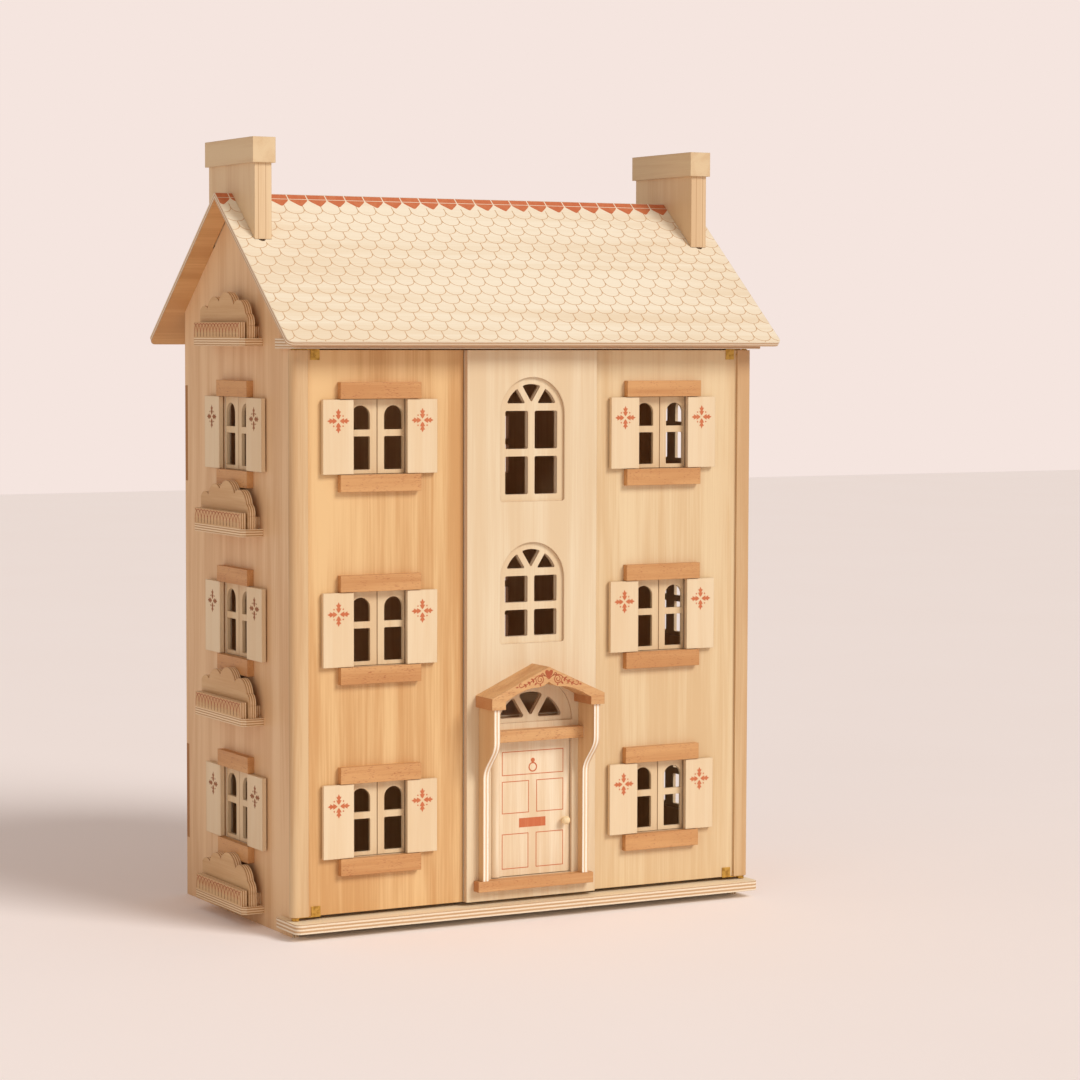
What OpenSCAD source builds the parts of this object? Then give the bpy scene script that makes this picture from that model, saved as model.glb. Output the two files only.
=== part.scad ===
/* [House] */
// Width across the outsides of the side walls
house_w = 580; // [480:5:700]
// Depth of the side walls
house_d = 306; // [250:2:370]
// Clear height inside each storey
clear_h = 205; // [170:1:250]
// Height of the side walls above the attic floor, at the eaves
knee_h = 30; // [24:1:60]
// Slope of the roof in degrees
roof_slope = 39.5; // [32:0.5:46]

/* [Boards] */
// Thickness of the side walls, back and facade doors
board_t = 8; // [6.5:0.5:10]
// Thickness of the storey floors
floor_t = 8; // [6:0.5:10]
// Thickness of the base board and the attic floor
base_t = 11; // [9:0.5:14]
// Height of the base board above the ground
base_gap = 9; // [6:0.5:14]
// Thickness of the roof panels
roof_t = 6; // [5:0.5:9]
// Reach of the roof past each side wall
roof_side = 26; // [22:0.5:60]
// Reach of the roof past the front and the rear of the side walls
roof_eave = 50; // [40:1:80]
// Corner radius of the base board, attic floor and roof
board_r = 7; // [3:0.5:10]

/* [Facade doors] */
// Width of the pivot stile of each facade door
stile_w = 20; // [17:0.5:26]
// Thickness of the pivot stile from front to back
stile_d = 14; // [13:0.5:16]
// Diameter of the pivot pins of the facade doors
pivot_d = 5; // [4:0.5:6]
// Space under the facade doors
door_gap_low = 4.5; // [3:0.5:8]
// Space over the facade doors
door_gap_high = 1.5; // [1.5:0.5:4]
// Space where the two facade doors meet
seam_gap = 1; // [0.8:0.1:2]

/* [Tower and porch] */
// Width of the tower overlay
tower_w = 167; // [150:1:185]
// Thickness of the tower overlay
tower_t = 8; // [6:0.5:10]
// Width of the arched tower windows
tower_window_w = 83; // [70:1:90]
// Height of the lower tower window
tower_window_low_h = 115; // [105:1:125]
// Height of the upper tower window
tower_window_high_h = 141; // [120:1:150]
// Width of the front door opening
doorway_w = 105; // [96:1:110]
// Height of the front door opening
doorway_h = 158; // [140:1:165]
// Height of the doorway above the base board
doorway_z = 29; // [26:0.5:34]
// Radius of the half-round light over the front door
fanlight_r = 53; // [48:0.5:55]
// Reach of the porch canopy
canopy_d = 40; // [30:1:50]
// Half the width of the porch canopy
canopy_half_w = 72.5; // [70:0.5:80]

/* [Windows] */
// Height of each window opening
window_h = 83.5; // [70:0.5:90]
// Height of a window's sill above the floor
window_z = 66.3; // [60:0.5:75]
// Width of a sash in the facade
facade_sash_w = 33.4; // [26:0.2:38]
// Width of a sash in the side walls
wall_sash_w = 36; // [30:0.2:44]
// Distance from the middle of the house to the left facade windows
left_window_x = 190.5; // [180:0.5:200]
// Distance from the middle of the house to the right facade windows
right_window_x = 174; // [165:0.5:190]
// Distance from the front edge of the side walls to the middle of their windows
wall_window_y = 149; // [130:1:170]
// Height of a lintel
lintel_h = 18.4; // [14:0.2:24]
// Height of a sill
sill_h = 19; // [14:0.5:24]
// How far lintels and sills stand out
rail_t = 8; // [7:0.5:10]
// Reach of a facade lintel past each shutter pin
facade_rail_reach = 14; // [6:0.5:18]
// Reach of a side wall's lintel past each shutter pin
wall_rail_reach = 2.4; // [2.4:0.2:10]
// Thickness of the shutters
shutter_t = 5; // [4:0.5:5]
// Thickness of the sashes
sash_t = 4; // [3:0.5:5]
// Diameter of the window pins
window_pin_d = 2; // [1.5:0.1:2.4]

/* [Window boxes] */
// Width of a window box
box_w = 142; // [120:1:170]
// Reach of a window box
box_d = 26; // [25:0.5:32]
// Height of the box rail
box_rail_h = 18; // [12:1:24]

/* [Chimneys] */
// Length of a chimney across the ridge
chimney_l = 131; // [110:1:150]
// Top of the chimneys above the ridge
chimney_h = 60; // [45:1:80]
// Height of a chimney cap
cap_h = 28.5; // [20:0.5:36]
// How far a chimney cap stands out
cap_out = 3.5; // [2:0.5:6]
// Thickness of a chimney's outer cheek
cheek_out_t = 4.5; // [4:0.5:8]
// Thickness of a chimney's inner cheek
cheek_in_t = 7; // [4:0.5:10]

/* [Hidden] */
$fn = 48;
EPS = 0.01;
SPIN_GAP = 0.4;      // least space around a turning corner
PIN_FIT = 0.05;      // radial clearance of every pivot pin in its bore
LIFT_FIT = 0.5;      // space around each wall tongue inside its chimney
DOOR_GAP = 1;        // space between a stile and the wall behind it
NEAR = 0.6;          // space over and under a sash or shutter
PIN_END = 0.3;       // space past the end of a window pin in its bore

// Heights
base_top = base_gap + base_t;
pitch = clear_h + floor_t;
attic_z = base_top + 2 * pitch + clear_h;
attic_top = attic_z + base_t;
wall_h = attic_top + knee_h;
ridge_y = house_d / 2;
slope = tan(roof_slope);
roof_rise = roof_t / cos(roof_slope);
gable_top = wall_h + ridge_y * slope;
ridge_z = gable_top + roof_rise;
roof_lift = 0.4;     // space between a chimney's foot and the roof

// Widths
half_w = house_w / 2;
half_in = half_w - board_t;

// Tenons of the back panel, low and high in each side wall
tenon_h = 112;
tenon_zs = [base_top + 49, base_top + 2 * pitch + 48];

// Arched windows of the back panel
back_window_w = 58;
back_window_h = 112;
back_window_x = 110;
back_window_z = 48;  // above each floor
back_bar = 7;

// Facade doors: their pivot line stands in front of the side wall's edge
stile_r = stile_d / 2;
pivot_x = half_w;
pivot_y = -DOOR_GAP - stile_r;
door_back = pivot_y + board_t / 2;
door_front = door_back - board_t;
tower_front = door_front - tower_t;
door_z0 = base_top + door_gap_low;
door_z1 = attic_z - door_gap_high;
stile_edge = pivot_x + stile_r - stile_w;
tower_half = tower_w / 2;
left_free = -tower_half - seam_gap;
groove = board_t / 2;
pivot_pin_l = 8;     // how deep a pivot pin enters the board above or below the door
pivot_bore_l = 10;   // how deep it enters the stile

// Ears that carry the facade's pivots
ear_x = pivot_x + stile_r + 3;
ear_front = tower_front - 13;
ear_back = 27;

// Windows
WALLS = ["left_door", "right_door", "left_wall"];
STOREYS = ["ground", "middle", "top"];
SIDES = ["left", "right"];
sash_inset = sash_t / 2;
sash_swing = sqrt(2) * sash_inset + SPIN_GAP;
shutter_inset = shutter_t / 2;
shutter_off = sqrt(2) * shutter_inset + 0.5;
facade_shutter_back = 0.4;  // from the opening's edge out to the shutter pins
wall_shutter_back = 3.5;
facade_sash_sink = 3;  // from the wall's outer face in to the sash's
wall_sash_sink = 0.8;
meet = 1;            // from a window's middle to a closed shutter; twice that to a sash
pin_r = window_pin_d / 2;
pin_l = 2.4;
sash_rail = 5;       // lower rail of a sash
sash_bar = 7.5;      // bar between the panes, and the rail over the arched pane

// Tower windows and the light over the front door
tower_frame = 8;     // border between an arched window's edge and its panes
tower_bar = 8.5;     // width of the upright and cross bars
fan_bar = 7;         // width of the slanting bars
fan_angle = 58;
tower_low_z = base_top + 296.5;
tower_high_z = base_top + 458;
recess = 3.5;        // from the tower's face back to the panes' bars
frame_t = 8;         // thickness of the bars
light_frame = 9.75;  // border of the half-round light, at its spring
light_sink = 9;      // its panes' centre below the light's lower edge

// Porch
step_h = 12;
beam_h = 13;
porch_t = 8;
step_z = base_top + doorway_z;
light_z = step_z + doorway_h + 19;
canopy_z = light_z + 21;
canopy_end_h = 13;
canopy_h = 46;
porch_in = canopy_half_w - 4 - porch_t;

// Front door
door_leaf_t = 6;
hinge_r = 7;
hinge_x = -doorway_w / 2 + hinge_r + 0.5;
hinge_y = door_front - 0.5;
door_pin_r = 1.5;
door_near = 0.8;     // space over and under the front door
door_pin_l = 2.8;
knob_z = 61;
knob_x = doorway_w / 2 - 9;
knob_r = 5;
knob_stem_r = 2;

// Window boxes and chimneys
box_lift = 3;
box_floor_t = 8.8;
box_board_t = 7.3;
box_chamfer = 5;
box_block_h = 13;
bush_t = 9;
// Each bush lobe: its place along the box, its top above the box floor, its radius
LOBES = [[-57, 37, 15], [-28, 47, 20], [6, 52, 24], [42, 43, 20], [58, 28, 11]];
tongue_half = chimney_l / 2 - 5.5;
slot_half = chimney_l / 2 + 2;
tongue_top = ridge_z + chimney_h - cap_h - 4;
cap_z = ridge_z + chimney_h - cap_h;

// The outline's front is the canopy or the eave, whichever stands out more
canopy_front = tower_front - canopy_d;
front_y = min(canopy_front, -roof_eave);
rear_y = house_d + roof_eave;
centre_y = (front_y + rear_y) / 2;

// ---- Outlines and placing ----

function arc(c, r, a0, a1, n = 8) =
    [for (i = [0:n]) c + r * [cos(a0 + (a1 - a0) * i / n), sin(a0 + (a1 - a0) * i / n)]];

// Rectangle with round corners, from its lowest corner
function soft_box(x0, y0, x1, y1, r) = concat(
    arc([x1 - r, y1 - r], r, 0, 90, 6),
    arc([x0 + r, y1 - r], r, 90, 180, 6),
    arc([x0 + r, y0 + r], r, 180, 270, 6),
    arc([x1 - r, y0 + r], r, 270, 360, 6)
);

// Round-topped opening, centred on x = 0 and standing on z = 0
function arch(w, h, r = 3) = concat(
    arc([0, h - w / 2], w / 2, 0, 180, 24),
    arc([-w / 2 + r, r], r, 180, 270, 4),
    arc([w / 2 - r, r], r, 270, 360, 4)
);

// Points of an arc about the origin, without its two ends
function arc_between(r, a0, a1, n = 12) =
    [for (i = [1:n - 1]) r * [cos(a0 + (a1 - a0) * i / n), sin(a0 + (a1 - a0) * i / n)]];

// Length from point p along direction dir to the circle of radius r about the origin
function reach(p, dir, r) = sqrt(pow(p * dir, 2) - p * p + r * r) - p * dir;

// Round-cornered side pane of a fan: right of a bar that rises from (x0, base) at angle a
function side_pane(r, base, x0, a, c) =
    let (
        dir = [cos(a), sin(a)],
        foot = [x0 + c * (1 + cos(a)) / sin(a), base + c],
        tip = foot + dir * reach(foot, dir, r - c),
        far = [sqrt(pow(r - c, 2) - pow(base + c, 2)), base + c],
        tip_a = atan2(tip[1], tip[0]),
        far_a = atan2(far[1], far[0])
    )
    concat(
        arc(far, c, -90, far_a, 4),
        arc_between(r, far_a, tip_a),
        arc(tip, c, tip_a, a + 90, 4),
        arc(foot, c, a + 90, 270, 6)
    );

// Round-cornered middle pane of a fan, with its point down
function middle_pane(r, point, a, c) =
    let (
        dir = [cos(a), sin(a)],
        foot = [0, point + c / cos(a)],
        tip = foot + dir * reach(foot, dir, r - c),
        tip_a = atan2(tip[1], tip[0])
    )
    concat(
        arc(tip, c, a - 90, tip_a, 4),
        arc_between(r, tip_a, 180 - tip_a),
        arc([-tip[0], tip[1]], c, 180 - tip_a, 270 - a, 4),
        arc(foot, c, 270 - a, 270 + a, 6)
    );

// Extrudes an (x, z) outline from y to y + t
module along_y(y, t) {
    translate([0, y + t, 0]) rotate([90, 0, 0]) linear_extrude(t) children();
}

// Extrudes a (y, z) outline from x to x + t
module along_x(x, t) {
    translate([x, 0, 0]) rotate([90, 0, 90]) linear_extrude(t) children();
}

module mirror_if(flip) {
    if (flip) mirror([1, 0, 0]) children();
    else children();
}

module place() {
    translate([0, -centre_y, 0]) children();
}

function level(s) = base_top + s * pitch;
function sill_top(s) = level(s) + window_z;

// ---- Windows ----
// A window is drawn around its own middle: x across, y into the wall, z up from the sill's top.
// The wall's outer face is y = 0 and the street side is y < 0.

function sash_w(w) = w == 2 ? wall_sash_w : facade_sash_w;
function sash_pin_x(w) = meet / 2 + sash_w(w) - sash_inset;
function opening_half(w) = sash_pin_x(w) + sash_swing;
function shutter_pin_x(w) = opening_half(w) + (w == 2 ? wall_shutter_back : facade_shutter_back);
function sash_y(w) = (w == 2 ? wall_sash_sink : facade_sash_sink) + sash_t / 2;
function rail_half(w) = shutter_pin_x(w) + (w == 2 ? wall_rail_reach : facade_rail_reach);
function pane_w(w) = 0.69 * sash_w(w);
function pane_x(w) = meet / 2 + 0.245 * sash_w(w) + pane_w(w) / 2;

// Puts a window's pieces on wall w at storey s
module at_window(w, s) {
    if (w == 2)
        translate([-half_w, wall_window_y, sill_top(s)]) rotate([0, 0, -90]) children();
    else
        translate([w == 0 ? -left_window_x : right_window_x, door_front, sill_top(s)]) children();
}

// What a wall loses for one window: the opening and the sash pins' bores
module window_cut(w) {
    half = opening_half(w);
    translate([-half, -1, 0]) cube([2 * half, board_t + 2, window_h]);
    for (side = [-1, 1]) translate([side * sash_pin_x(w), sash_y(w), 0]) window_pin_bores();
}

module window_pin_bores() {
    translate([0, 0, -pin_l - PIN_END])
        cylinder(h = window_h + 2 * (pin_l + PIN_END), r = pin_r + PIN_FIT);
}

// Pins that stand out of the top and the foot of a sash or shutter
module window_pins() {
    for (z = [-pin_l, window_h - NEAR - EPS])
        translate([0, 0, z]) cylinder(h = pin_l + NEAR + EPS, r = pin_r);
}

// Lintel and sill of one window, with the shutter pins' bores
module window_rails(w) {
    half = rail_half(w);
    difference() {
        union() {
            translate([-half, -rail_t, window_h]) cube([2 * half, rail_t, lintel_h]);
            translate([-half, -rail_t, -sill_h]) cube([2 * half, rail_t, sill_h]);
        }
        for (side = [-1, 1]) translate([side * shutter_pin_x(w), -shutter_off, 0]) window_pin_bores();
    }
}

// One shutter, open flat against the wall; side is -1 or 1
module shutter(w, side) {
    pin_x = shutter_pin_x(w);
    color("blanchedalmond") mirror_if(side < 0) {
        translate([pin_x - shutter_inset, -shutter_off - shutter_t / 2, NEAR])
            cube([pin_x + shutter_inset - meet, shutter_t, window_h - 2 * NEAR]);
        translate([pin_x, -shutter_off, 0]) window_pins();
    }
}

// Square lower pane and arched upper pane of a sash
module sash_panes(w) {
    glass_h = window_h - sash_rail - 2 * sash_bar;
    low_h = 0.58 * glass_h;
    translate([pane_x(w), sash_rail]) polygon(soft_box(-pane_w(w) / 2, 0, pane_w(w) / 2, low_h, 1.5));
    translate([pane_x(w), sash_rail + low_h + sash_bar]) polygon(arch(pane_w(w), glass_h - low_h, 1));
}

// One sash, closed; side is -1 or 1
module sash(w, side) {
    color("wheat") mirror_if(side < 0) {
        difference() {
            translate([meet / 2, sash_y(w) - sash_t / 2, NEAR])
                cube([sash_w(w), sash_t, window_h - 2 * NEAR]);
            along_y(-1, board_t + 2) sash_panes(w);
        }
        translate([sash_pin_x(w), sash_y(w), 0]) window_pins();
    }
}

// ---- House: walls, floors and roof ----

module side_panel(x) {
    shoulder = gable_top - tongue_half * slope;
    along_x(x, board_t) difference() {
        polygon([
            [0, 0], [house_d, 0], [house_d, wall_h],
            [ridge_y + tongue_half, shoulder], [ridge_y + tongue_half, tongue_top],
            [ridge_y - tongue_half, tongue_top], [ridge_y - tongue_half, shoulder],
            [0, wall_h]
        ]);
        // Notches for the ears of the base board and attic floor
        for (z = [base_gap, attic_z]) translate([-1, z]) square([ear_back + 1, base_t]);
        // Notches for the back panel's tenons
        for (z = tenon_zs) translate([house_d - board_t, z]) square([board_t + 1, tenon_h]);
    }
}

module left_side_panel() {
    color("peru") difference() {
        side_panel(-half_w);
        for (s = [0:2]) at_window(2, s) window_cut(2);
    }
}

module right_side_panel() {
    color("peru") mirror([1, 0, 0]) difference() {
        side_panel(-half_w);
        for (s = [0:2]) at_window(2, s) window_cut(2);
    }
}

// Back with two arched windows on each storey, each with an upright and two cross bars
module back_panel() {
    color("burlywood") along_y(house_d - board_t, board_t) difference() {
        union() {
            translate([-half_in, base_top]) square([2 * half_in, attic_z - base_top]);
            for (z = tenon_zs) translate([-half_w, z]) square([house_w, tenon_h]);
        }
        for (s = [0:2], side = [-1, 1])
            translate([side * back_window_x, level(s) + back_window_z]) difference() {
                polygon(arch(back_window_w, back_window_h));
                translate([-back_bar / 2, 0]) square([back_bar, back_window_h]);
                for (z = [back_window_h / 3 - 1, 2 * back_window_h / 3 - 3])
                    translate([-back_window_w / 2, z]) square([back_window_w, back_bar]);
            }
    }
}

// Outline of a board whose front ears pass the side walls
module eared_outline() {
    r = board_r;
    polygon(concat(
        arc([ear_x - r, ear_back - r], r, 0, 90, 6),
        [[half_in, ear_back], [half_in, house_d - board_t], [-half_in, house_d - board_t],
         [-half_in, ear_back]],
        arc([-ear_x + r, ear_back - r], r, 90, 180, 6),
        arc([-ear_x + r, ear_front + r], r, 180, 270, 6),
        arc([ear_x - r, ear_front + r], r, 270, 360, 6)
    ));
}

// Bores for the facade pivots, from z up
module pivot_bores(z) {
    for (side = [-1, 1])
        translate([side * pivot_x, pivot_y, z])
            cylinder(h = pivot_pin_l + 2 * PIN_END, r = pivot_d / 2 + PIN_FIT);
}

module base_board() {
    color("antiquewhite") difference() {
        union() {
            translate([0, 0, base_gap]) linear_extrude(base_t) eared_outline();
            translate([-half_in, house_d - board_t - EPS, base_gap])
                cube([2 * half_in, board_t + EPS, base_t]);
        }
        pivot_bores(base_top - pivot_pin_l - PIN_END);
    }
}

module upper_floors() {
    color("antiquewhite") {
        for (s = [1:2])
            translate([-half_in, 0, level(s) - floor_t])
                cube([2 * half_in, house_d - board_t, floor_t]);
        difference() {
            union() {
                translate([0, 0, attic_z]) linear_extrude(base_t) eared_outline();
                translate([-half_in, house_d - board_t - EPS, attic_z])
                    cube([2 * half_in, board_t + EPS, base_t]);
            }
            pivot_bores(attic_z - PIN_END);
        }
    }
}

// One roof panel, drawn on the front slope and cut off plumb at the ridge
module roof_panel() {
    run = ridge_y + roof_eave;
    length = run / cos(roof_slope);
    half = half_w + roof_side;
    slot_in = half_in - 1;
    slot_out = half_w + 1;
    difference() {
        intersection() {
            along_x(-half, 2 * half)
                polygon([
                    [ridge_y, ridge_z], [ridge_y, ridge_z - roof_rise],
                    [ridge_y - 2 * run, ridge_z - roof_rise - 2 * run * slope],
                    [ridge_y - 2 * run, ridge_z - 2 * run * slope]
                ]);
            translate([0, ridge_y, ridge_z]) rotate([roof_slope, 0, 0])
                translate([0, 0, -4 * roof_t]) linear_extrude(8 * roof_t)
                    polygon(concat(
                        [[half, 4 * roof_t], [-half, 4 * roof_t]],
                        arc([-half + board_r, -length + board_r], board_r, 180, 270, 6),
                        arc([half - board_r, -length + board_r], board_r, 270, 360, 6)
                    ));
        }
        for (side = [-1, 1]) {
            translate([side * (slot_in + slot_out) / 2, 0, 0]) {
                slot_w = slot_out - slot_in;
                translate([-slot_w / 2, ridge_y - slot_half + slot_w / 2, ridge_z - house_d])
                    cube([slot_w, slot_half, 2 * house_d]);
                translate([0, ridge_y - slot_half + slot_w / 2, ridge_z - house_d])
                    cylinder(h = 2 * house_d, d = slot_w);
            }
        }
    }
}

module front_roof_panel() {
    color("oldlace") roof_panel();
}

module rear_roof_panel() {
    color("oldlace") translate([0, 2 * ridge_y, 0]) mirror([0, 1, 0]) roof_panel();
}

module left_wall_window_rails() {
    color("sandybrown") for (s = [0:2]) at_window(2, s) window_rails(2);
}

// The right wall's windows do not move: rails, shutters and sashes in one group
module right_wall_windows() {
    color("blanchedalmond") mirror([1, 0, 0]) for (s = [0:2]) at_window(2, s) {
        difference() {
            window_rails(2);
            for (side = [-1, 1])
                translate([side * shutter_pin_x(2), -shutter_off, -2 * pin_l])
                    cylinder(h = 2 * pin_l, r = 2 * pin_r);
        }
        for (side = [-1, 1]) {
            fixed_shutter(side);
            fixed_sash(side);
        }
    }
}

module fixed_shutter(side) {
    pin_x = shutter_pin_x(2);
    leaf_w = pin_x + shutter_inset - meet;
    mirror_if(side < 0) translate([pin_x - shutter_inset, -shutter_off - shutter_t / 2, 0])
        cube([leaf_w, shutter_off + shutter_t / 2, window_h]);
}

module fixed_sash(side) {
    mirror_if(side < 0) difference() {
        translate([0, sash_y(2) - sash_t / 2, 0]) cube([opening_half(2), sash_t, window_h]);
        along_y(-1, board_t + 2) sash_panes(2);
    }
}

// ---- Window boxes ----

module window_box() {
    half = box_w / 2;
    bush_half = half - 2;
    // Floor, seen from above, with chamfered outer corners
    translate([0, 0, -box_floor_t]) linear_extrude(box_floor_t)
        polygon([
            [-half, 0], [-half, -box_d + box_chamfer], [-half + box_chamfer, -box_d],
            [half - box_chamfer, -box_d], [half, -box_d + box_chamfer], [half, 0]
        ]);
    // Rail at the outer edge
    translate([-half + box_chamfer, -box_d, 0])
        cube([2 * (half - box_chamfer), box_board_t, box_rail_h]);
    // Block at the wall that the bush stands against
    translate([-half + 2 * box_chamfer, -rail_t, 0])
        cube([2 * (half - 2 * box_chamfer), rail_t, box_block_h]);
    // Bush
    along_y(-rail_t - bush_t, bush_t - 0.3) intersection() {
        translate([-bush_half, 0]) square([2 * bush_half, 2 * LOBES[2][1]]);
        union() {
            for (lobe = LOBES) translate([lobe[0], lobe[1] - lobe[2]]) circle(lobe[2]);
            translate([-bush_half, 0]) square([2 * bush_half, box_block_h + 1]);
            translate([LOBES[0][0], 0]) square([LOBES[3][0] - LOBES[0][0], LOBES[2][2]]);
        }
    }
}

module window_boxes() {
    color("sandybrown") for (flip = [false, true]) mirror_if(flip) for (s = [0:3])
        translate([-half_w, wall_window_y, level(s) + box_lift]) rotate([0, 0, -90]) window_box();
}

// ---- Chimneys ----

// A chimney that drops over the left wall's tongue: two cheeks, two end blocks and a cap
module chimney() {
    gap_in = half_in - LIFT_FIT;
    gap_out = half_w + LIFT_FIT;
    x_in = gap_in - cheek_in_t;
    x_out = gap_out + cheek_out_t;
    l = chimney_l / 2;
    low = ridge_z - house_d;
    flue_rim = 1.5;
    flue_deep = 10;
    difference() {
        union() {
            translate([-x_out, ridge_y - l, low]) cube([x_out - x_in, 2 * l, cap_z - low]);
            translate([-x_out - cap_out, ridge_y - l - cap_out, cap_z])
                cube([x_out - x_in + 2 * cap_out, 2 * (l + cap_out), cap_h]);
        }
        // Room for the tongue
        translate([-gap_out, ridge_y - tongue_half - LIFT_FIT, low - 1])
            cube([gap_out - gap_in, 2 * (tongue_half + LIFT_FIT), tongue_top + LIFT_FIT - low + 1]);
        // Flue
        translate([-x_out + flue_rim, ridge_y - l + 4 * flue_rim, cap_z + cap_h - flue_deep])
            cube([x_out - x_in - 2 * flue_rim, 2 * l - 8 * flue_rim, flue_deep + 1]);
        // Foot cut to the roof
        under_roof(roof_lift);
    }
}

module under_roof(lift) {
    drop = 2 * house_d;
    along_x(-house_w, 2 * house_w)
        polygon([
            [ridge_y, ridge_z + lift],
            [ridge_y - drop, ridge_z + lift - drop * slope],
            [ridge_y - drop, ridge_z - 2 * drop],
            [ridge_y + drop, ridge_z - 2 * drop],
            [ridge_y + drop, ridge_z + lift - drop * slope]
        ]);
}

module left_chimney() {
    color("tan") chimney();
}

module right_chimney() {
    color("tan") mirror([1, 0, 0]) chimney();
}

// ---- Facade doors ----

module door_stile() {
    color("peru") difference() {
        union() {
            translate([-pivot_x, pivot_y, door_z0]) cylinder(h = door_z1 - door_z0, r = stile_r);
            translate([-pivot_x, pivot_y - stile_r, door_z0])
                cube([pivot_x - stile_edge, stile_d, door_z1 - door_z0]);
        }
        // Groove for the door panel's edge
        translate([-stile_edge - groove, door_front, door_z0 - 1])
            cube([groove + 1, board_t, door_z1 - door_z0 + 2]);
        for (z = [door_z0 - 1, door_z1 - pivot_bore_l])
            translate([-pivot_x, pivot_y, z]) cylinder(h = pivot_bore_l + 1, r = pivot_d / 2);
    }
}

// Brass leaf over each end of a stile, folded down onto the door panel, with its pin
module door_pivots() {
    leaf_t = 1;
    flap_w = 11;
    leaf_in = stile_edge - 15;
    color("goldenrod") for (low = [false, true])
        translate([0, 0, low ? door_z0 + door_z1 : 0]) mirror([0, 0, low ? 1 : 0]) {
            gap = low ? door_gap_low : door_gap_high;
            difference() {
                union() {
                    translate([-pivot_x, door_front - leaf_t, door_z1])
                        cube([pivot_x - leaf_in, board_t + leaf_t, leaf_t]);
                    translate([-pivot_x, pivot_y, door_z1]) cylinder(h = leaf_t, r = board_t / 2);
                    translate([-leaf_in - flap_w, door_front - leaf_t, door_z1 - flap_w])
                        cube([flap_w, leaf_t, flap_w + EPS]);
                }
                translate([-pivot_x, pivot_y, door_z1 - 1])
                    cylinder(h = 3 * leaf_t, r = pivot_d / 2);
            }
            translate([-pivot_x, pivot_y, door_z1 - pivot_bore_l])
                cylinder(h = pivot_bore_l + gap + pivot_pin_l, r = pivot_d / 2);
        }
}

// Collar that spaces the lower leaf from the base board
module pivot_collar() {
    color("goldenrod") difference() {
        translate([-pivot_x, pivot_y, base_top + PIN_END])
            cylinder(h = door_gap_low - 1 - PIN_END, r = pivot_d / 2 + 2);
        translate([-pivot_x, pivot_y, base_top]) cylinder(h = door_gap_low, r = pivot_d / 2);
    }
}

module left_door_panel() {
    color("navajowhite") difference() {
        translate([-stile_edge - groove, door_front, door_z0])
            cube([left_free + stile_edge + groove, board_t, door_z1 - door_z0]);
        for (s = [0:2]) at_window(0, s) window_cut(0);
    }
}

module left_door_stile() {
    door_stile();
}

module right_door_stile() {
    mirror([1, 0, 0]) door_stile();
}

module left_door_window_rails() {
    color("sandybrown") for (s = [0:2]) at_window(0, s) window_rails(0);
}

module right_door_window_rails() {
    color("sandybrown") for (s = [0:2]) at_window(1, s) window_rails(1);
}

module left_door_pivots() {
    door_pivots();
    pivot_collar();
}

module right_door_pivots() {
    mirror([1, 0, 0]) {
        door_pivots();
        pivot_collar();
    }
}

// ---- Tower, in front of the right door panel ----

// Three panes of a fan of radius r, standing on z = base, with corner radius c
module fan_panes(r, base, c) {
    point = base + 1;
    bar_x = fan_bar / sin(fan_angle) - 1 / tan(fan_angle);
    polygon(middle_pane(r, point, fan_angle, c));
    for (flip = [false, true]) mirror_if(flip) polygon(side_pane(r, base, bar_x, fan_angle, c));
}

// Panes of an arched tower window of height h: four square ones under a fan
module tower_panes(h) {
    spring = h - tower_window_w / 2;
    pane_out = tower_window_w / 2 - tower_frame;
    fan_base = 0.35 * pane_out;
    square_top = spring + fan_base - tower_bar;
    pane_h = (square_top - tower_frame - tower_bar) / 2;
    translate([0, spring]) fan_panes(pane_out, fan_base, 1.3);
    for (flip = [false, true], row = [0, 1])
        mirror_if(flip) translate([0, tower_frame + row * (pane_h + tower_bar)])
            polygon(soft_box(tower_bar / 2, 0, pane_out, pane_h, 2));
}

module light_panes() {
    translate([0, light_z - light_sink]) fan_panes(fanlight_r - light_frame, light_sink + 5.2, 2.5);
}

// Half-round outline of radius r standing on z = 0
module half_round(r) {
    intersection() {
        circle(r);
        translate([-r, 0]) square([2 * r, r]);
    }
}

module doorway() {
    translate([-doorway_w / 2, step_z]) square([doorway_w, doorway_h]);
}

// Bore for the front door's pins, shared by the door panel and the tower in front of it
module front_door_bore() {
    translate([hinge_x, hinge_y, step_z - door_pin_l])
        cylinder(h = doorway_h + 2 * door_pin_l, r = door_pin_r + PIN_FIT);
}

module right_door_panel() {
    ledge = 4;
    pane_back = frame_t + recess - tower_t;
    color("navajowhite") difference() {
        translate([-tower_half, door_front, door_z0])
            cube([tower_half + stile_edge + groove, board_t, door_z1 - door_z0]);
        along_y(door_front - 1, board_t + 2) doorway();
        along_y(door_front - 1, board_t + 2) {
            translate([0, tower_low_z]) tower_panes(tower_window_low_h);
            translate([0, tower_high_z]) tower_panes(tower_window_high_h);
            light_panes();
        }
        // Wider openings behind the bars
        along_y(door_front + pane_back, board_t) {
            for (w = [[tower_low_z, tower_window_low_h], [tower_high_z, tower_window_high_h]])
                translate([0, w[0] + ledge]) polygon(arch(tower_window_w - 2 * ledge, w[1] - 2 * ledge));
            translate([0, light_z + ledge]) half_round(fanlight_r - 2 * ledge);
        }
        for (s = [0:2]) at_window(1, s) window_cut(1);
        front_door_bore();
    }
}

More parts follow.
